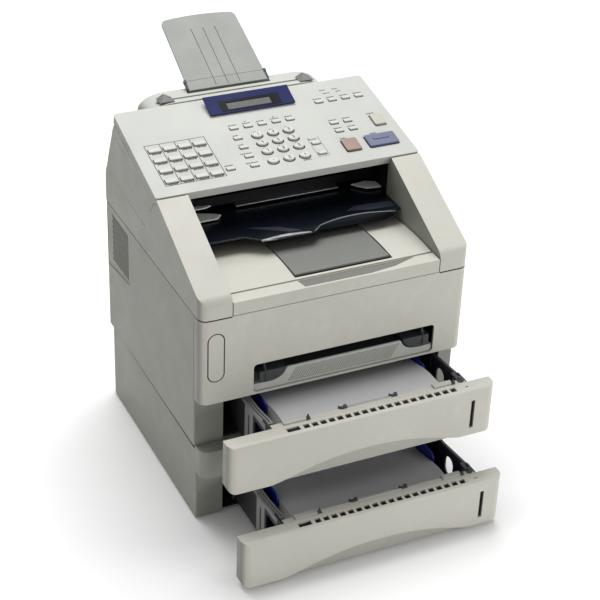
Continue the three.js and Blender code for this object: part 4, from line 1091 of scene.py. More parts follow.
def digit_marks(text, x, s, size=4.6):
    """A plain numeral drawn with short straight strokes, as (x0, x1, s0, s1)."""
    w, h, t = size * 0.55, size, 0.75
    strokes = {
        "a": (-w / 2, w / 2, h / 2 - t, h / 2), "b": (w / 2 - t, w / 2, 0, h / 2),
        "c": (w / 2 - t, w / 2, -h / 2, 0), "d": (-w / 2, w / 2, -h / 2, -h / 2 + t),
        "e": (-w / 2, -w / 2 + t, -h / 2, 0), "f": (-w / 2, -w / 2 + t, 0, h / 2),
        "g": (-w / 2, w / 2, -t / 2, t / 2),
    }
    if text == "star":
        return [(x - 1, x + 1, s - 0.25, s + 0.25), (x - 0.25, x + 0.25, s - 1, s + 1)]
    if text == "hash":
        return [(x - 1.1, x + 1.1, s + k - 0.2, s + k + 0.2) for k in (-0.5, 0.5)] + \
               [(x + k - 0.2, x + k + 0.2, s - 1.2, s + 1.2) for k in (-0.5, 0.5)]
    return [(x + a, x + b, s + c, s + d) for a, b, c, d in (strokes[k] for k in SEGMENTS[text])]


DIGIT_HEIGHT = 3.0


def digit_keys():
    for row, s in enumerate(KEY_ROWS):
        for column, x in enumerate(KEY_COLUMNS):
            label = DIGITS[3 * row + column]
            node = f"key_{label}"

            def outline(shrink, x=x, s=s):
                return ellipse(x, s, DIGIT_RADII[0] - shrink, DIGIT_RADII[1] - shrink, 48)

            cap = key_cap(outline, DIGIT_HEIGHT - 0.25, (3.6, 0.3), CAP_ROOT, edge=1.1)
            settle(tilted(cap), f"{node}_dome", f"{node}_cap", KEY, [node], 0)
            films = [block(x0, x1, s0, s1, DIGIT_HEIGHT - 0.05, DIGIT_HEIGHT + 0.1)
                     for x0, x1, s0, s1 in digit_marks(label, x, s)]
            numeral = tilted(gathered(films, "numeral"))
            trim(numeral, f"{node}_numeral", INK, body=f"{node}_cap")


def big_keys():
    materials = {"stop_key": (STOP, "stop"), "start_key": (START, "start"), "copy_key": (COPY, "copy")}
    for node, (x, s, width, depth) in BIG_KEYS.items():
        def outline(shrink, x=x, s=s, w=width / 2, d=depth / 2):
            return round_rect(x - w + shrink, x + w - shrink, s - d + shrink, s + d - shrink,
                              max(2.2 - shrink * 0.5, 0.4), 6)

        cap = key_cap(outline, 2.85, (width * 0.35, 0.15), CAP_ROOT, edge=0.8)
        material, slot = materials[node]
        settle(tilted(cap), f"{node}_top", f"{node}_cap", material, [node], 0)


WEB = (-4.6, -3.2)


def key_mat(name, node, caps, webs, half_width, half_depth, height=1.8):
    solids = [block(x0, x1, s0, s1, *WEB) for x0, x1, s0, s1 in webs]
    whole = solids[0]
    if len(solids) > 1:
        fused(whole, *solids[1:])
    tops = []
    for x, s in caps:
        def outline(shrink, x=x, s=s):
            return round_rect(x - half_width + shrink, x + half_width - shrink,
                              s - half_depth + shrink, s + half_depth - shrink, 1.3 - shrink * 0.4, 5)

        tops.append(key_cap(outline, height, (half_depth * 0.5, 0.1), WEB[0] + 0.4, edge=0.6, steps=4))
    settle(tilted(gathered(tops, name)), name, "panel_lid", KEY, [node], 0)
    # The web under the caps takes the dark rubber tone, painted shade in the gaps round the keys.
    trim(tilted(whole), f"{name}_web", RUBBER, body="panel_lid")


def key_mats():
    key_mat("function_keys", "function_key_mat", SMALL_KEYS,
            [(-46, 52, 99, 109), (-46, -31, 20, 109), (-78, -31, 24, 34), (47, 64, 20, 109),
             (60, 92, 99, 109), (84, 130, 58, 134), (84, 162, 120, 134)], 5.5, 2.5)
    grid = [(x, s) for s in ONE_TOUCH_ROWS for x in ONE_TOUCH_COLUMNS]
    key_mat("one_touch_keys", "one_touch_key_mat", grid, [(-162, -80, 18, 94)], 8.0, 3.5)


def glass_window():
    return block(GLASS["left"], GLASS["right"], GLASS["front"], GLASS["back"], -5, 20)


def display():
    plate = pod_wedge(BEZEL["left"] + 0.3, BEZEL["right"] - 0.3, BEZEL["front"] + 0.3,
                      BEZEL["back"] - 0.3, 0)
    cut(plate, pod_wedge(BEZEL["left"] - 1, BEZEL["right"] + 1, BEZEL["front"] - 1,
                         BEZEL["back"] + 1, 1.6),
        glass_window())
    settle(tilted(plate), "display_surround", "panel_lid", NAVY, ["display_bezel"], 0.3, 2)
    glass = pod_wedge(GLASS["left"] + 0.3, GLASS["right"] - 0.3, GLASS["front"] + 0.3,
                      GLASS["back"] - 0.3, 0.5)
    cut(glass, pod_wedge(BEZEL["left"], BEZEL["right"], BEZEL["front"], BEZEL["back"], 1.6))
    settle(tilted(glass), "display_lcd", "panel_lid", DISPLAY, ["display_window"], 0.1, 2)
    rim = pod_wedge(GLASS["left"] - 9.5, GLASS["right"] + 13, GLASS["front"] - 2.5, GLASS["back"] + 4, -0.35)
    cut(rim, pod_wedge(GLASS["left"] - 11, GLASS["right"] + 15, GLASS["front"] - 4, GLASS["back"] + 6, -0.02),
        glass_window())
    trim(tilted(rim), "display_dark_rim", BLACK_TRIM, 0.12, 2, body="panel_lid")


# ---- document feeder ---------------------------------------------------------------------------------
FEEDER = {"front": 290.5, "back": 328.0, "half": 128.0, "top": 436.0, "floor": 400.0}


def document_tray():
    half, top, floor = FEEDER["half"], FEEDER["top"], FEEDER["floor"]
    outline = [(-half, floor), (half, floor), (half, top - 22)]
    outline += cubic((half, top - 22), (half, top - 8), (half - 14, top - 1.5), (half - 36, top))[1:]
    outline += cubic((-half + 36, top), (-half + 14, top - 1.5), (-half, top - 8), (-half, top - 22))[:-1]
    hump = prism(outline, "Y", FEEDER["front"], FEEDER["back"])
    clear = [(y + 0.6, z + 0.5) for y, z in HOUSING_CROWN]
    over = prism([(200, 330), (200, 421.5)] + smooth_through(clear, 4), "X", -200, 200)
    cut(hump, over, block(-118, 118, 300, 304, top - 4, top + 5),
        block(-64, 54, 311.2, 317.5, top - 5, top + 5))
    settle(hump, "document_tray_hump", "main_body", PANEL, ["document_tray"], 1.4, 4)


def document_guide(node, body, x):
    half, front, back, height, top = 10.5, 293.0, 310.0, 5.8, FEEDER["top"]
    face = [(x - half, top + 0.4), (x + half, top + 0.4)]
    face += quad((x + 3.0, top + height - 1.4), (x, top + height + 1.2), (x - 3.0, top + height - 1.4), 6)
    wedge = prism(face, "Y", front, back)
    slope = prism([(front, top), (front, top + 1.5), (back - 2, top + height + 1),
                   (back, top + height + 1), (back, top)], "X", x - 20, x + 20)
    common(wedge, slope)
    fused(wedge, block(x - 6, x + 6, 300.6, 303.4, top - 3, top + 1))
    settle(wedge, f"{node}_wedge", body, GUIDE_GREY, [node], 0.5)


SUPPORT = {"width": 113.0, "length": 128.0, "thick": 3.0, "hinge": (-5.0, 314.5, 436.2)}
SUPPORT_TILT = math.radians(25.5)
SUPPORT_TO_SHOP = Matrix.Translation(SUPPORT["hinge"]) @ Matrix.Rotation(SUPPORT_TILT, 4, "X")


def document_support():
    half, length, thick = SUPPORT["width"] / 2, SUPPORT["length"], SUPPORT["thick"]
    outline = [(-half, 0), (half, 0), (half - 3, length - 12)]
    outline += quad((half - 3, length - 12), (half - 3, length - 5), (half - 10, length - 3), 6)[1:]
    outline += quad((half - 10, length - 3), (0, length + 3), (-half + 10, length - 3), 16)[1:]
    outline += quad((-half + 10, length - 3), (-half + 3, length - 5), (-half + 3, length - 12), 6)[1:]
    plate = prism(outline, "Z", 0, thick)
    grooves = [block(x - 0.6, x + 0.6, 3, 103, thick - 1.0, thick + 1) for x in (-17, 0, 17)]
    seam = block(-half - 1, half + 1, 15.8, 16.4, thick - 0.4, thick + 1)
    under = [block(x - 1, x + 1, 20, 110, -1, 0.8) for x in (-40, -20, 20, 40)]
    cut(plate, gathered(grooves, "grooves"), seam, gathered(under, "under"))
    settle(tilted(plate, SUPPORT_TO_SHOP), "document_support_plate", "original_support", SUPPORT_GREY,
           ["document_support"], 0.5)
    clips = []
    for side in (-1, 1):
        x = side * (half + 0.4)
        clip = block(x - 1.3, x + 1.3, 1.5, 17, -0.6, thick + 0.9)
        fused(clip, block(x - 1.5, x + 1.5, 12.5, 17.5, -0.6, thick + 1.6))
        clips.append(clip)
    trim(tilted(gathered(clips, "clips"), SUPPORT_TO_SHOP), "document_support_clips", DARK,
         0.3, 2, body="original_support")


CREST = [(6.0, 68.6), (16.5, 76.8), (25.0, 83.1), (53.5, 90.2), (84.8, 90.8), (114.5, 84.9), (128.0, 81.5)]


def document_exit_tray():
    """A smoked tray: one lens-shaped lobe at the left, and a hollowed one with a drooping lip."""
    crest = smooth_through(CREST, 5)
    outline = [(138, 200), (-138, 200), (-138, 90), (-78, 88)]
    outline += quad((-78, 88), (-62, 71), (-40, 70), 10)[1:] + crest + [(138, 86)]
    plate = prism(outline, "Z", 338, 340.6)
    blades = [prism([(-66, 108), (-20, 80), (-4, 79), (-30, 98)], "Z", 340.2, 341.1),
              prism([(70, 104), (100, 96), (134, 94), (134, 108), (84, 112)], "Z", 340.2, 341.0)]
    trim(gathered(blades, "blades"), "document_exit_blades", SLATE, 0.3, 2)
    settle(plate, "document_exit_shelf", "main_body", SMOKED, ["document_exit_tray"], 0.8, 4)
    sections = []
    for x, y in crest:
        if x > 119:
            break
        foot = min(79.0, y - 2.0)
        drop = 333.6 if x > 14 else 340.0 - 6.4 * max(x - 6, 0) / 8
        low = min(drop, 339.0)
        middle, half_drop = (y + foot) / 2, (340 + low) / 2
        sections.append([(x, y + 1.0, 340.4), (x, y - 0.6, 340.5), (x, middle - 0.6, half_drop + 1.4),
                         (x, foot, low + 0.6), (x, foot + 0.5, low - 0.4),
                         (x, middle + 0.6, half_drop - 0.6), (x, y + 1.0, 338.4)])
    trim(lofted(sections, "lip"), "document_exit_lip", LIP_BLACK, 0, 2)
    # Painted highlight: a pale rim along the scalloped front edge.
    rim = [[(x, y - 1.3, 340.4), (x, y - 0.2, 341.3), (x, y + 0.7, 340.8), (x, y - 0.3, 339.8)]
           for x, y in crest[2:]]
    trim(lofted(rim, "rim"), "document_exit_rim_highlight", EDGE_HIGHLIGHT, 0, 2)
    # Painted highlight: a pale crescent along the left lobe's edge.
    lens = []
    for i in range(21):
        u = i / 20
        x = -62 + 67 * u
        swell = math.sin(math.pi * u) ** 0.8
        y = 70.2 + 2.0 * (1 - u) ** 3
        lens.append([(x, y - 0.9, 339.2), (x, y - 0.9 + 0.2 * swell, 340.0),
                     (x, y + 0.2 + 5.2 * swell, 341.4 + 0.2 * swell), (x, y + 0.6 + 5.2 * swell, 340.2)])
    trim(lofted(lens, "lens"), "document_exit_lens_highlight", EDGE_HIGHLIGHT, 0, 2)


def feeder_frame():
    bar = prism([(168, 345), (168, 372), (176, 392), (BACK_WALL - 0.6, 399), (BACK_WALL - 0.6, 345)],
                "X", -TOWER_INNER + 0.6, TOWER_INNER - 0.6)
    cut(bar, block(-112, 112, 160, 200, 358, 366), block(-112, 112, 178, 198, 364, 390))
    settle(bar, "document_feeder_frame", "main_body", DEEP_BLACK, ["document_feed_frame"], 0.5)
    strip = prism([(159.0, 343.6), (159.0, 344.9), (168.6, 346.6), (168.6, 345.2)], "X", -59, 85)
    trim(strip, "feeder_edge_strip", STEEL, 0.25, 2)
    tabs = [
        prism([(-137, 150), (-104, 150), (-96, 153.5), (-96, 156), (-137, 160)], "Z", 354.2, 355.6),
        prism([(-136, 138.5), (-92, 138.5), (-84.5, 147), (-98, 155), (-112, 160), (-136, 160)], "Z",
              342.4, 344.2),
        prism([(103.8, 161), (110, 153), (119, 144), (138, 141), (138, 157), (124, 163)], "Z", 343, 345),
    ]
    # The tabs take the painted-light pale grey.
    trim(gathered(tabs, "tabs"), "feeder_exit_tabs", TAB_LIT, 0.5)


def feed_roller():
    y, z = 188.0, 372.0
    profile = [(-110.5, 0.4), (-110.5, 2.0), (-110, 2.5)]
    for x in (-84, -28, 28, 84):
        profile += [(x - 11.2, 2.5), (x - 11, 5.4), (x - 10.4, 6.0)]
        profile += [(x + 10.4, 6.0), (x + 11, 5.4), (x + 11.2, 2.5)]
    profile += [(110, 2.5), (110.5, 2.0), (110.5, 0.4)]
    roller = turned(profile, "X", (0, y, z), 28)
    settle(roller, "document_roller", "feed_roller", RUBBER, ["document_feed_roller"], 0.15, 2)


# ---- paper trays ----------------------------------------------------------------------------------------
DRAWER_DROP = 70.0
TRAY_LEFT, TRAY_RIGHT, TRAY_DEPTH = -119.0, 150.0, 311.0
PAPER_BOX = {"left": -95.0, "right": 121.0, "front": 13.0, "back": 308.0, "thick": 29.0}
ARCH = {"centre": 5.0, "half": 135.0, "rise": 21.5, "layer": 5.0}
TRAYS = {
    "upper": {"floor": UNIT_TOP, "pull": 91.0, "plate": UNIT_TOP + 32.0, "half": HALF_WIDTH},
    "lower": {"floor": 0.0, "pull": 132.5, "plate": 25.0, "half": UNIT_HALF + 0.5},
}


def drawer_front(which, floor, pull, half):
    top, low, face = floor + DRAWER_DROP, floor + 2, FACE - pull
    slab = prism(plan_outline(half, face, -pull, CORNER, 1), "Z", low, top)
    common(slab, prism(round_rect(-half, half, low, top + 20, 9, 12), "Y", face - 5, 5))
    centre, side, crown = ARCH["centre"], ARCH["half"], low + ARCH["rise"]
    arch = cubic((centre - side, low - 1), (centre - side + 30, low + 2), (centre - 75, crown),
                 (centre, crown), 24)
    arch += cubic((centre, crown), (centre + 75, crown), (centre + side - 30, low + 2),
                  (centre + side, low - 1), 24)[1:]
    slots = [block(-102, -85, -pull - 14, -pull - 6.2, top - 9, top + 1)]
    pitch = 11.1
    slots += [block(-80 + pitch * i, -72.5 + pitch * i, -pull - 14, -pull - 6.2, top - 9, top + 1)
              for i in range(19)]
    slots.append(prism(round_rect(140.5, 145, -pull - 11.2, -pull - 9.2, 0.9, 4), "Z", top - 3, top + 1))
    cut(slab, prism(arch, "Y", face - 5, face + ARCH["layer"]),
        block(146.0, 151.2, face - 5, face + 4, floor + 13, floor + 54), gathered(slots, "slots"))
    shoulder = prism([(face - 1, top + 1), (face - 1, top - 4.5), (face, top - 4.5),
                      (face + 1.6, top - 1.4), (face + 5.5, top), (face + 5.5, top + 1)], "X",
                     -half - 1, half + 1)
    cut(slab, shoulder)
    body = f"{which}_tray"
    settle(slab, f"{which}_drawer_face", body, COVER, [f"{which}_drawer_front"], 1.0, 4)
    gauge = block(146.3, 150.9, face + 2.6, face + 3.9, floor + 13.4, floor + 53.6)
    cut(gauge, *[block(146, 151, face + 2, face + 3.1, floor + z, floor + z + 0.8)
                 for z in (20, 27, 34, 41, 48)])
    trim(gauge, f"{which}_level_gauge", DEEP_BLACK, 0.15, 2, body=body)
    # Painted shadow: a black floor in the paper-guide slots.
    shadow_bed = block(-103, 138, -pull - 14.2, -pull - 6.0, top - 3.0, top - 2.4)
    trim(shadow_bed, f"{which}_slot_shadow_floor", DEEP_BLACK, body=body)
    # Painted shade: a darker liner on the back wall of the arch recess.
    shade_liner = prism(arch, "Y", face + ARCH["layer"] - 0.3, face + ARCH["layer"] + 0.2)
    common(shade_liner, block(-200, 200, face, 0, low + 0.1, top - 10))
    trim(shade_liner, f"{which}_grip_recess_shade", COVER_PAINTED_SHADE, body=body)


def pulled(obj, pull):
    """Draws a solid made with its tray shut out to where the tray stands."""
    obj.data.transform(Matrix.Translation((0, -pull, 0)))
    return obj


def tray_body(which, floor, pull):
    low, wall_top = floor + 5, floor + 60
    shelf_top = floor + DRAWER_DROP - 0.2
    outer = block(TRAY_LEFT, TRAY_RIGHT, GAP, TRAY_DEPTH, low, wall_top)
    cut(outer, block(TRAY_LEFT + 2.5, TRAY_RIGHT - 2.5, 3, TRAY_DEPTH - 2.5, low + 2.5, wall_top + 1))
    front = PAPER_BOX["front"]
    ears = [block(x, x + 2.5, GAP, front + 10, low, shelf_top - 0.5)
            for x in (TRAY_LEFT, TRAY_RIGHT - 2.5)]
    ribs = [block(TRAY_LEFT + 2.2, TRAY_LEFT + 5.5, y, y + 1.6, low, wall_top - 3)
            for y in range(202, 300, 18)]
    ribs += [block(TRAY_RIGHT - 5.5, TRAY_RIGHT - 2.2, y, y + 1.6, low, wall_top - 3)
             for y in range(84, 300, 18)]
    fused(outer, *ears, gathered(ribs, "ribs"))
    oval = prism(round_rect(52, 72, floor + 22, floor + 50, 9.9, 8), "X", TRAY_RIGHT - 10, TRAY_RIGHT + 5)
    gap = prism(round_rect(12, 47, floor + 15, floor + 52, 4, 5), "X", TRAY_LEFT - 5, TRAY_LEFT + 10)
    cut(outer, oval, gap)
    body = f"{which}_tray"
    # The cassette takes the near-black tray plastic, part own colour and part painted shade.
    settle(pulled(outer, pull), f"{which}_cassette", body, TRAY, [f"{which}_tray_body"], 0.5, 2)
    shelf = prism([(GAP, shelf_top - 14), (GAP, shelf_top), (7.5, shelf_top), (front - 3, shelf_top - 2.5),
                   (front - 3, shelf_top - 8), (front - 4.8, shelf_top - 8), (front - 5.2, shelf_top - 3.4),
                   (3, shelf_top - 3.4), (3, shelf_top - 14)], "X", TRAY_LEFT + 2.6, TRAY_RIGHT - 2.6)
    fused(shelf, block(TRAY_LEFT + 20, TRAY_RIGHT - 20, 0.6, 3.0, low + 3, floor + 58))
    trim(pulled(shelf, pull), f"{which}_cassette_shelf", COVER, 0.4, 2, body=body)
    tray_rails(which, floor, pull, wall_top)
    tray_trim(which, pull, shelf_top)


def tray_rails(which, floor, pull, wall_top):
    """Flanges along the top of both cassette walls; the left one is broad and grooved."""
    left, right = TRAY_LEFT, TRAY_RIGHT
    flange = prism([(14, wall_top - 1), (14, wall_top + 7), (22, wall_top + 6.5), (60, wall_top + 1.2),
                    (300, wall_top + 1.2), (300, wall_top - 1)], "X", left - 0.4, left + 10.5)
    grooves = [block(left + x, left + x + 1.5, 18, 296, wall_top - 0.2, wall_top + 12) for x in (2.6, 6.4)]
    cut(flange, *grooves)
    post = block(left - 0.6, left + 0.6, 50, 74, floor + 8, wall_top - 0.6)
    cut(post, block(left - 2, left + 2, 60, 64, floor + 14, wall_top - 10))
    fused(flange, post)
    trim(pulled(flange, pull), f"{which}_left_rail", RAIL, 0.35, 2, body=f"{which}_tray")
    rail = prism([(8, wall_top - 1), (8, wall_top + 8.5), (20, wall_top + 7.5), (80, wall_top + 1.2),
                  (300, wall_top + 1.2), (300, wall_top - 1)], "X", right - 3.4, right + 0.4)
    trim(pulled(rail, pull), f"{which}_right_rail", GUIDE_DARK, 0.35, 2, body=f"{which}_tray")


def tray_trim(which, pull, shelf_top):
    """Pale ledges and rule, dark sliding pointers, and the latch knob at the right rail."""
    pads = [block(-101, -68, 1, 9, shelf_top - 0.5, shelf_top + 2.2),
            block(103, 129, 1, 9, shelf_top - 0.5, shelf_top + 2.2),
            block(-14, 46, 5.4, 6.8, shelf_top - 0.4, shelf_top + 1.0),
            block(-14, 46, 8.4, 9.6, shelf_top - 1.4, shelf_top + 0.4)]
    solid = gathered(pads, "pads")
    trim(pulled(solid, pull), f"{which}_tray_ledges", PANEL, 0.4, 2, body=f"{which}_tray")
    marks = []
    for x in (-19, 50):
        marks += [block(x - 4.2, x + 4.2, 5.2, 8.6, shelf_top - 0.4, shelf_top + 2.4),
                  block(x - 6.4, x - 4.4, 7.0, 9.8, shelf_top - 0.6, shelf_top + 2.8),
                  block(x + 1.5, x + 5.4, 9.0, 11.4, shelf_top - 1.6, shelf_top + 2.0)]
    for x in (-68.6, 130):
        marks.append(prism([(x - 3.2, shelf_top + 0.4), (x + 3.2, shelf_top + 0.4), (x, shelf_top + 8)],
                           "Y", 0.6, 3.4))
    latch = block(TRAY_RIGHT - 12, TRAY_RIGHT - 4, 2, 12, shelf_top - 1, shelf_top + 2.0)
    fused(latch, block(TRAY_RIGHT - 10.5, TRAY_RIGHT - 6, 0.6, 24, shelf_top - 2, shelf_top + 0.6),
          turned([(shelf_top, 3.0), (shelf_top + 4.2, 2.4)], "Z", (TRAY_RIGHT - 8, 7, 0), 20))
    marks.append(latch)
    solid = gathered(marks, "trim")
    trim(pulled(solid, pull), f"{which}_tray_trim", GUIDE_DARK, 0.25, 2, body=f"{which}_tray")


def lift_plate(which, plate, pull):
    x0, x1 = PAPER_BOX["left"] + 2, PAPER_BOX["right"] - 2
    y0, y1 = PAPER_BOX["front"] + 3, 298
    sheet = prism(round_rect(x0, x1, y0, y1, 5), "Z", plate, plate + 1.5)
    slots = [prism(round_rect(x - 5, x + 5, 90, 230, 4), "Z", plate - 1, plate + 3) for x in (-60, 86)]
    dimples = [turned([(plate - 1, 5), (plate + 3, 5)], "Z", (x, y, 0), 24)
               for x in (-20, 13, 46) for y in (80, 160, 240)]
    cut(sheet, *slots, *dimples)
    settle(pulled(sheet, pull), f"{which}_lift_sheet", f"{which}_lift", STEEL,
           [f"{which}_lift_plate"], 0.3, 2)


def paper_sag(y):
    """How far the sheets dip towards the rear, where the plate below has not lifted them."""
    t = min(max((y - 38) / 70, 0), 1)
    return 11.0 * t * t * (3 - 2 * t)


def paper_stack(which, plate, pull):
    """Bundles of sheets, each a little out of line with the next, and a curling top sheet."""
    low, bundles = plate + 1.6, 14
    rise = PAPER_BOX["thick"] / bundles
    stack = []
    for i in range(bundles):
        slip = 0.35 * math.sin(2.3 * i + 0.7)
        skew = 0.3 * math.sin(3.7 * i + 1.1)
        x0, x1 = PAPER_BOX["left"] + 0.4 + slip, PAPER_BOX["right"] - 0.4 + slip
        sections = []
        for y in (PAPER_BOX["front"] + 0.4 + skew, 36, 46, 56, 66, 76, 86, 96, 106,
                  PAPER_BOX["back"] - 0.4 + skew):
            sag = 1 - paper_sag(y) / PAPER_BOX["thick"]
            z0, z1 = low + i * rise * sag, low + (i + 1) * rise * sag - 0.04
            sections.append([(x0, y, z0), (x1, y, z0), (x1, y, z1), (x0, y, z1)])
        stack.append(lofted(sections))
    whole = gathered(stack, "stack")
    settle(pulled(whole, pull), f"{which}_paper", f"{which}_lift", PAPER,
           [f"{which}_paper_stack"], 0.12, 2)
    top_sheet(which, low + PAPER_BOX["thick"], pull)


def top_sheet(which, height, pull):
    """One thin sheet whose long edges and rear corners lift slightly."""
    left, right = PAPER_BOX["left"] + 0.5, PAPER_BOX["right"] - 0.5
    front, back = PAPER_BOX["front"] + 0.6, PAPER_BOX["back"] - 0.6
    across, along = 28, 60
    bm = bmesh.new()
    grid = []
    for j in range(along + 1):
        row = []
        for i in range(across + 1):
            u, v = i / across, j / along
            edge = abs(2 * u - 1)
            lift = 0.12 + 0.6 * edge ** 6 * (0.4 + 0.6 * v) + 0.15 * math.sin(3.1 * u + 5.2 * v) ** 2
            y = front + (back - front) * v
            row.append(bm.verts.new((left + (right - left) * u, y - pull, height + lift - paper_sag(y))))
        grid.append(row)
    for j in range(along):
        for i in range(across):
            bm.faces.new((grid[j][i], grid[j][i + 1], grid[j + 1][i + 1], grid[j + 1][i]))
    sheet = as_object("sheet", bm)
    solid = sheet.modifiers.new("thickness", "SOLIDIFY")
    solid.thickness = 0.12
    solid.offset = -1
    trim(combined(sheet, [], "UNION"), f"{which}_top_sheet", PAPER, body=f"{which}_lift")


def tray_guide(which, side_name, floor, pull, x, side):
    low, high = floor + 8, floor + 62
    outline = [(60, low), (190, low), (190, high - 10)]
    outline += quad((190, high - 10), (190, high), (180, high), 6)[1:]
    outline += quad((70, high), (60, high), (60, high - 10), 6)
    x0, x1 = sorted((x, x + side * 2.2))
    fence = prism(outline, "X", x0, x1)
    foot = block(x, x + side * 12, 70, 180, low, low + 2)
    ribs = [prism([(x + side * 2.0, low + 1), (x + side * 11, low + 1), (x + side * 2.0, high - 12)],
                  "Y", y, y + 1.8) for y in (84, 118, 152)]
    fused(fence, foot, *ribs)
    tab = prism(round_rect(112, 138, high - 20, high - 6, 5), "X", x, x + side * 5.5)
    cut(tab, block(x0 - (20 if side > 0 else 0), x1 + (20 if side < 0 else 0), 100, 150, high - 30, high))
    fused(fence, tab)
    settle(pulled(fence, pull), f"{which}_side_guide_{side_name}", f"{which}_guide_{side_name}", BLUE,
           [f"{which}_paper_guide_{side_name}"], 0.35, 2)


def paper_tray(which, floor, pull, plate, half):
    drawer_front(which, floor, pull, half)
    tray_body(which, floor, pull)
    lift_plate(which, plate, pull)
    paper_stack(which, plate, pull)
    tray_guide(which, "left", floor, pull, PAPER_BOX["left"] - 1, -1)
    tray_guide(which, "right", floor, pull, PAPER_BOX["right"] + 1, 1)


# ---- working parts inside -------------------------------------------------------------------------------
def pickup_roller():
    y, z, radius = 50.0, 188.4, 11.0
    profile = [(-43, 0.4), (-43, 2.5), (-42.5, 3), (-20.2, 3), (-20, radius - 0.6), (-19.4, radius)]
    x = -17.0
    while x < 38:
        profile += [(x, radius), (x + 0.3, radius - 0.5), (x + 0.9, radius - 0.5), (x + 1.2, radius)]
        x += 4.0
    profile += [(39.4, radius), (40, radius - 0.6), (40.2, 3), (62.5, 3), (63, 2.5), (63, 0.4)]
    roller = turned(profile, "X", (0, y, z), 36)
    settle(roller, "pickup_wheel", "pickup_roller", RUBBER, ["paper_pickup_roller"], 0, 2)


def toner_cartridge():
    outline = [(40, 200)] + arc(150, 218, 18, -90, 90, 16) + [(70, 262), (40, 240)]
    shell = prism(outline, "X", -130, 150)
    grooves = [block(x, x + 2, 60, 140, 244, 262) for x in range(-110, 140, 14)]
    grip = prism(round_rect(-25, 45, 52, 66, 5), "Z", 246, 266)
    cut(shell, gathered(grooves, "grooves"), grip)
    settle(shell, "toner_drum_cartridge", "main_body", DARK, ["toner_cartridge"], 1.0)
    drum = turned([(-124, 0.4), (-124, 8.6), (-123.4, 9), (143.4, 9), (144, 8.6), (144, 0.4)], "X",
                  (0, 158, 211), 32)
    trim(drum, "toner_drum", SMOKED)


def fuser_unit():
    housing = block(-132, 152, 215, 290, 200, 250)
    vents = [block(x, x + 6, 225, 280, 248.6, 252) for x in range(-120, 142, 12)]
    cut(housing, block(-120, 140, 205, 300, 220, 228), gathered(vents, "vents"))
    settle(housing, "fuser_housing", "main_body", STEEL, ["fuser_unit"], 0.8)
    core = turned([(-119, 0.4), (-119, 3.4), (-118.6, 3.7), (138.6, 3.7), (139, 3.4), (139, 0.4)], "X",
                  (0, 249, 224), 28)
    trim(core, "fuser_roller", RUBBER)


def laser_scanner():
    outline = [(40, 272), (140, 272), (150, 280), (150, 296), (40, 296)]
    case = prism(outline, "X", -110, 130)
    lid = [block(x, x + 1.6, 50, 140, 295.2, 297) for x in range(-96, 124, 11)]
    cut(case, gathered(lid, "lid"), block(-90, 110, 30, 43, 280, 288))
    settle(case, "laser_scanner_case", "main_body", DARK, ["laser_scanner"], 0.8)
    glass = block(-89, 109, 41, 42.4, 280.4, 287.6)
    trim(glass, "laser_window", SMOKED, 0.2, 2)


def logic_board():
    x = BAY_LEFT - 12
    board = prism(round_rect(60, 290, 140, 290, 4), "X", x, x + 1.6)
    holes = [turned([(x - 1, 1.8), (x + 3, 1.8)], "X", (0, y, z), 16)
             for y in (66, 284) for z in (146, 284)]
    cut(board, *holes)
    settle(board, "logic_board_plate", "main_body", BOARD, ["main_logic_board"], 0.1, 2)
    chips = []
    for i, (y, z, dy, dz) in enumerate(((90, 170, 34, 34), (150, 170, 26, 14), (150, 195, 26, 14),
                                        (200, 180, 20, 30), (95, 235, 40, 12), (240, 240, 16, 16),
                                        (180, 250, 30, 10), (130, 260, 12, 12))):
        rise = 2.2 + (i % 3) * 0.6
        chips.append(block(x - rise, x - 0.05, y, y + dy, z, z + dz))
        pins = int(dy / 2.5)
        chips += [block(x - 0.7, x - 0.05, y + 1 + 2.5 * k, y + 1.8 + 2.5 * k, z - 1.4, z + dz + 1.4)
                  for k in range(pins)]
    trim(gathered(chips, "chips"), "logic_board_chips", DARK, 0.15, 2)
    cans = [turned([(x - 11, 0.3), (x - 11, 3.6), (x - 10.4, 4), (x - 1, 4), (x - 0.1, 3.6), (x - 0.1, 0.3)],
                   "X", (0, y, z), 24) for y, z in ((225, 160), (240, 172), (262, 160), (262, 205))]
    trim(gathered(cans, "cans"), "logic_board_capacitors", STEEL)


def power_inlet():
    left, right, floor, top, depth = (INLET[k] for k in ("left", "right", "floor", "top", "depth"))
    wall = 3.0
    block_shape = prism(round_rect(left, right, floor, top, 2.5), "Y", BODY_BACK - depth, BODY_BACK)
    mouth = [(left + wall, floor + wall), (right - wall, floor + wall), (right - wall, top - wall - 3),
             (right - wall - 3.5, top - wall), (left + wall + 3.5, top - wall), (left + wall, top - wall - 3)]
    cut(block_shape, prism(mouth, "Y", BODY_BACK - depth + 6, BODY_BACK + 1))
    settle(block_shape, "mains_inlet", "main_body", DARK, ["power_inlet"], 0.5)
    blades = []
    for shift in (-6, 0, 6):
        x = (left + right) / 2 + shift
        z = (floor + top) / 2 + (3 if shift == 0 else -2)
        blades.append(block(x - 1, x + 1, BODY_BACK - depth + 4, BODY_BACK - 6, z - 2, z + 2))
    trim(gathered(blades, "blades"), "mains_inlet_blades", STEEL, 0.3, 2)


def line_sockets():
    """Two line sockets low in the rear panel, set in a shallow plate."""
    plate = prism(round_rect(-60, -22, 117, 131, 2), "Y", BODY_BACK - 1.0, BODY_BACK + 0.4)
    cut(plate, *[block(x, x + 11.5, BODY_BACK - 0.6, BODY_BACK + 2, 120, 129) for x in (-55.5, -38.0)])
    trim(plate, "line_socket_plate", GUIDE_DARK, 0.3, 2)


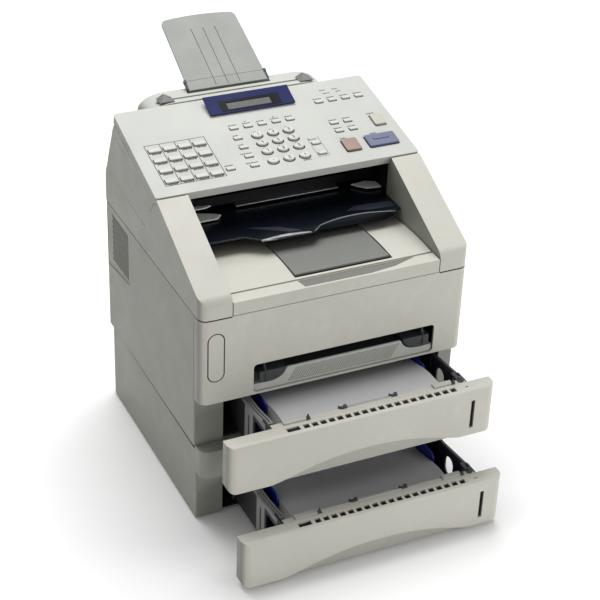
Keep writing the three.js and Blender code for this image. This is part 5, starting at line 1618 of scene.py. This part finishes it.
def tray_runners():
    runners = [block(x, x + 2.2, 8, 300, SKIN + GAP, 22) for x in (TRAY_LEFT - 3.6, TRAY_RIGHT + 1.4)]
    plate = block(TRAY_LEFT - 3.6, TRAY_RIGHT + 3.6, 8, 300, SKIN + GAP, SKIN + GAP + 1.2)
    fused(plate, *runners)
    windows = [prism(round_rect(x, x + 60, y, y + 70, 6), "Z", SKIN, SKIN + 3)
               for x in (-110, -25, 60) for y in (30, 120, 210)]
    cut(plate, gathered(windows, "windows"))
    settle(plate, "lower_runners", "main_body", STEEL, ["lower_tray_runners"], 0.3, 2)


# ---- everything in place ------------------------------------------------------------------------------
lower_unit()
tray_runners()
side_cover("left_side_cover", -1)
side_cover("right_side_cover", 1)
rear_panel()
rear_cover()
dress("chassis_frame", DARK)
upper_housing()
output_tray()
output_flap()
front_cover()
manual_platform()
manual_guide("manual_guide_left", "manual_guide_l", -102, -66, -94.5)
manual_guide("manual_guide_right", "manual_guide_r", 131, 94, 122.5)
control_panel()
panel_printing()
display()
digit_keys()
big_keys()
key_mats()
document_tray()
document_guide("document_guide_left", "original_guide_l", -99)
document_guide("document_guide_right", "original_guide_r", 99)
document_support()
document_exit_tray()
feeder_frame()
feed_roller()
for tray_name, tray in TRAYS.items():
    paper_tray(tray_name, tray["floor"], tray["pull"], tray["plate"], tray["half"])
pickup_roller()
toner_cartridge()
fuser_unit()
laser_scanner()
logic_board()
power_inlet()
line_sockets()
seam_shadow_backing()


# ---- floor, light and camera --------------------------------------------------------------------------
def studio_floor():
    bm = bmesh.new()
    rows = [(-8.0, 0.0)] + [(1.6 + 1.4 * math.sin(t), 1.4 - 1.4 * math.cos(t))
                            for t in (i * math.pi / 2 / 14 for i in range(15))] + [(3.0, 4.0)]
    lines = [[bm.verts.new((x, y, z)) for x in (-8.0, 8.0)] for y, z in rows]
    for a, b in zip(lines, lines[1:]):
        bm.faces.new((a[0], a[1], b[1], b[0]))
    floor = as_object("studio_floor", bm)
    for polygon in floor.data.polygons:
        polygon.use_smooth = True
    material, nodes, links, shader, place = shader_tree("studio_paper")
    cloud = noise(nodes, links, place, 1.5)
    links.new(ramp(nodes, links, cloud, [(0.3, 0.93), (0.7, 0.95)]), shader.inputs["Base Color"])
    shader.inputs["Roughness"].default_value = 0.95
    shader.inputs["Specular IOR Level"].default_value = 0.1
    floor.data.materials.append(material)


def area_light(name, place, target, size, power, colour=(1.0, 1.0, 1.0)):
    light = bpy.data.lights.new(name, "AREA")
    light.shape = "RECTANGLE"
    light.size, light.size_y = size
    light.energy = power
    light.color = colour
    obj = bpy.data.objects.new(name, light)
    scene.collection.objects.link(obj)
    obj.location = place
    obj.rotation_euler = (Vector(target) - Vector(place)).to_track_quat("-Z", "Y").to_euler()
    return obj


def lighting():
    world = bpy.data.worlds.new("studio")
    scene.world = world
    world.use_nodes = True
    sky = world.node_tree.nodes["Background"]
    sky.inputs["Color"].default_value = (1.0, 1.0, 1.0, 1.0)
    sky.inputs["Strength"].default_value = 0.42
    area_light("top_light", (0.15, 0.85, 2.5), (0, 0, 0.2), (2.2, 1.8), 73.0)
    area_light("front_light", (1.3, -1.9, 0.5), (0, 0, 0.25), (1.0, 0.7), 16.0)


CAMERA = {
    "place": Vector((-785.8, -1516.9, 1319.9)),
    "right": Vector((0.906230, -0.421434, 0.033791)),
    "down": Vector((-0.193089, -0.483659, -0.853692)),
    "forward": Vector((0.376118, 0.767117, -0.519680)),
    "lens": 98.195,
    "sensor": 36.0,
}


def camera():
    data = bpy.data.cameras.new("camera")
    data.lens, data.sensor_width = CAMERA["lens"], CAMERA["sensor"]
    data.clip_start, data.clip_end = 0.05, 50.0
    obj = bpy.data.objects.new("camera", data)
    scene.collection.objects.link(obj)
    columns = (CAMERA["right"], -CAMERA["down"], -CAMERA["forward"])
    turn = Matrix([[column[i] for column in columns] for i in range(3)]).to_4x4()
    obj.matrix_world = Matrix.Translation(ORIGIN + CAMERA["place"] * MM) @ turn
    scene.camera = obj


studio_floor()
lighting()
camera()
scene.view_settings.view_transform = "Standard"
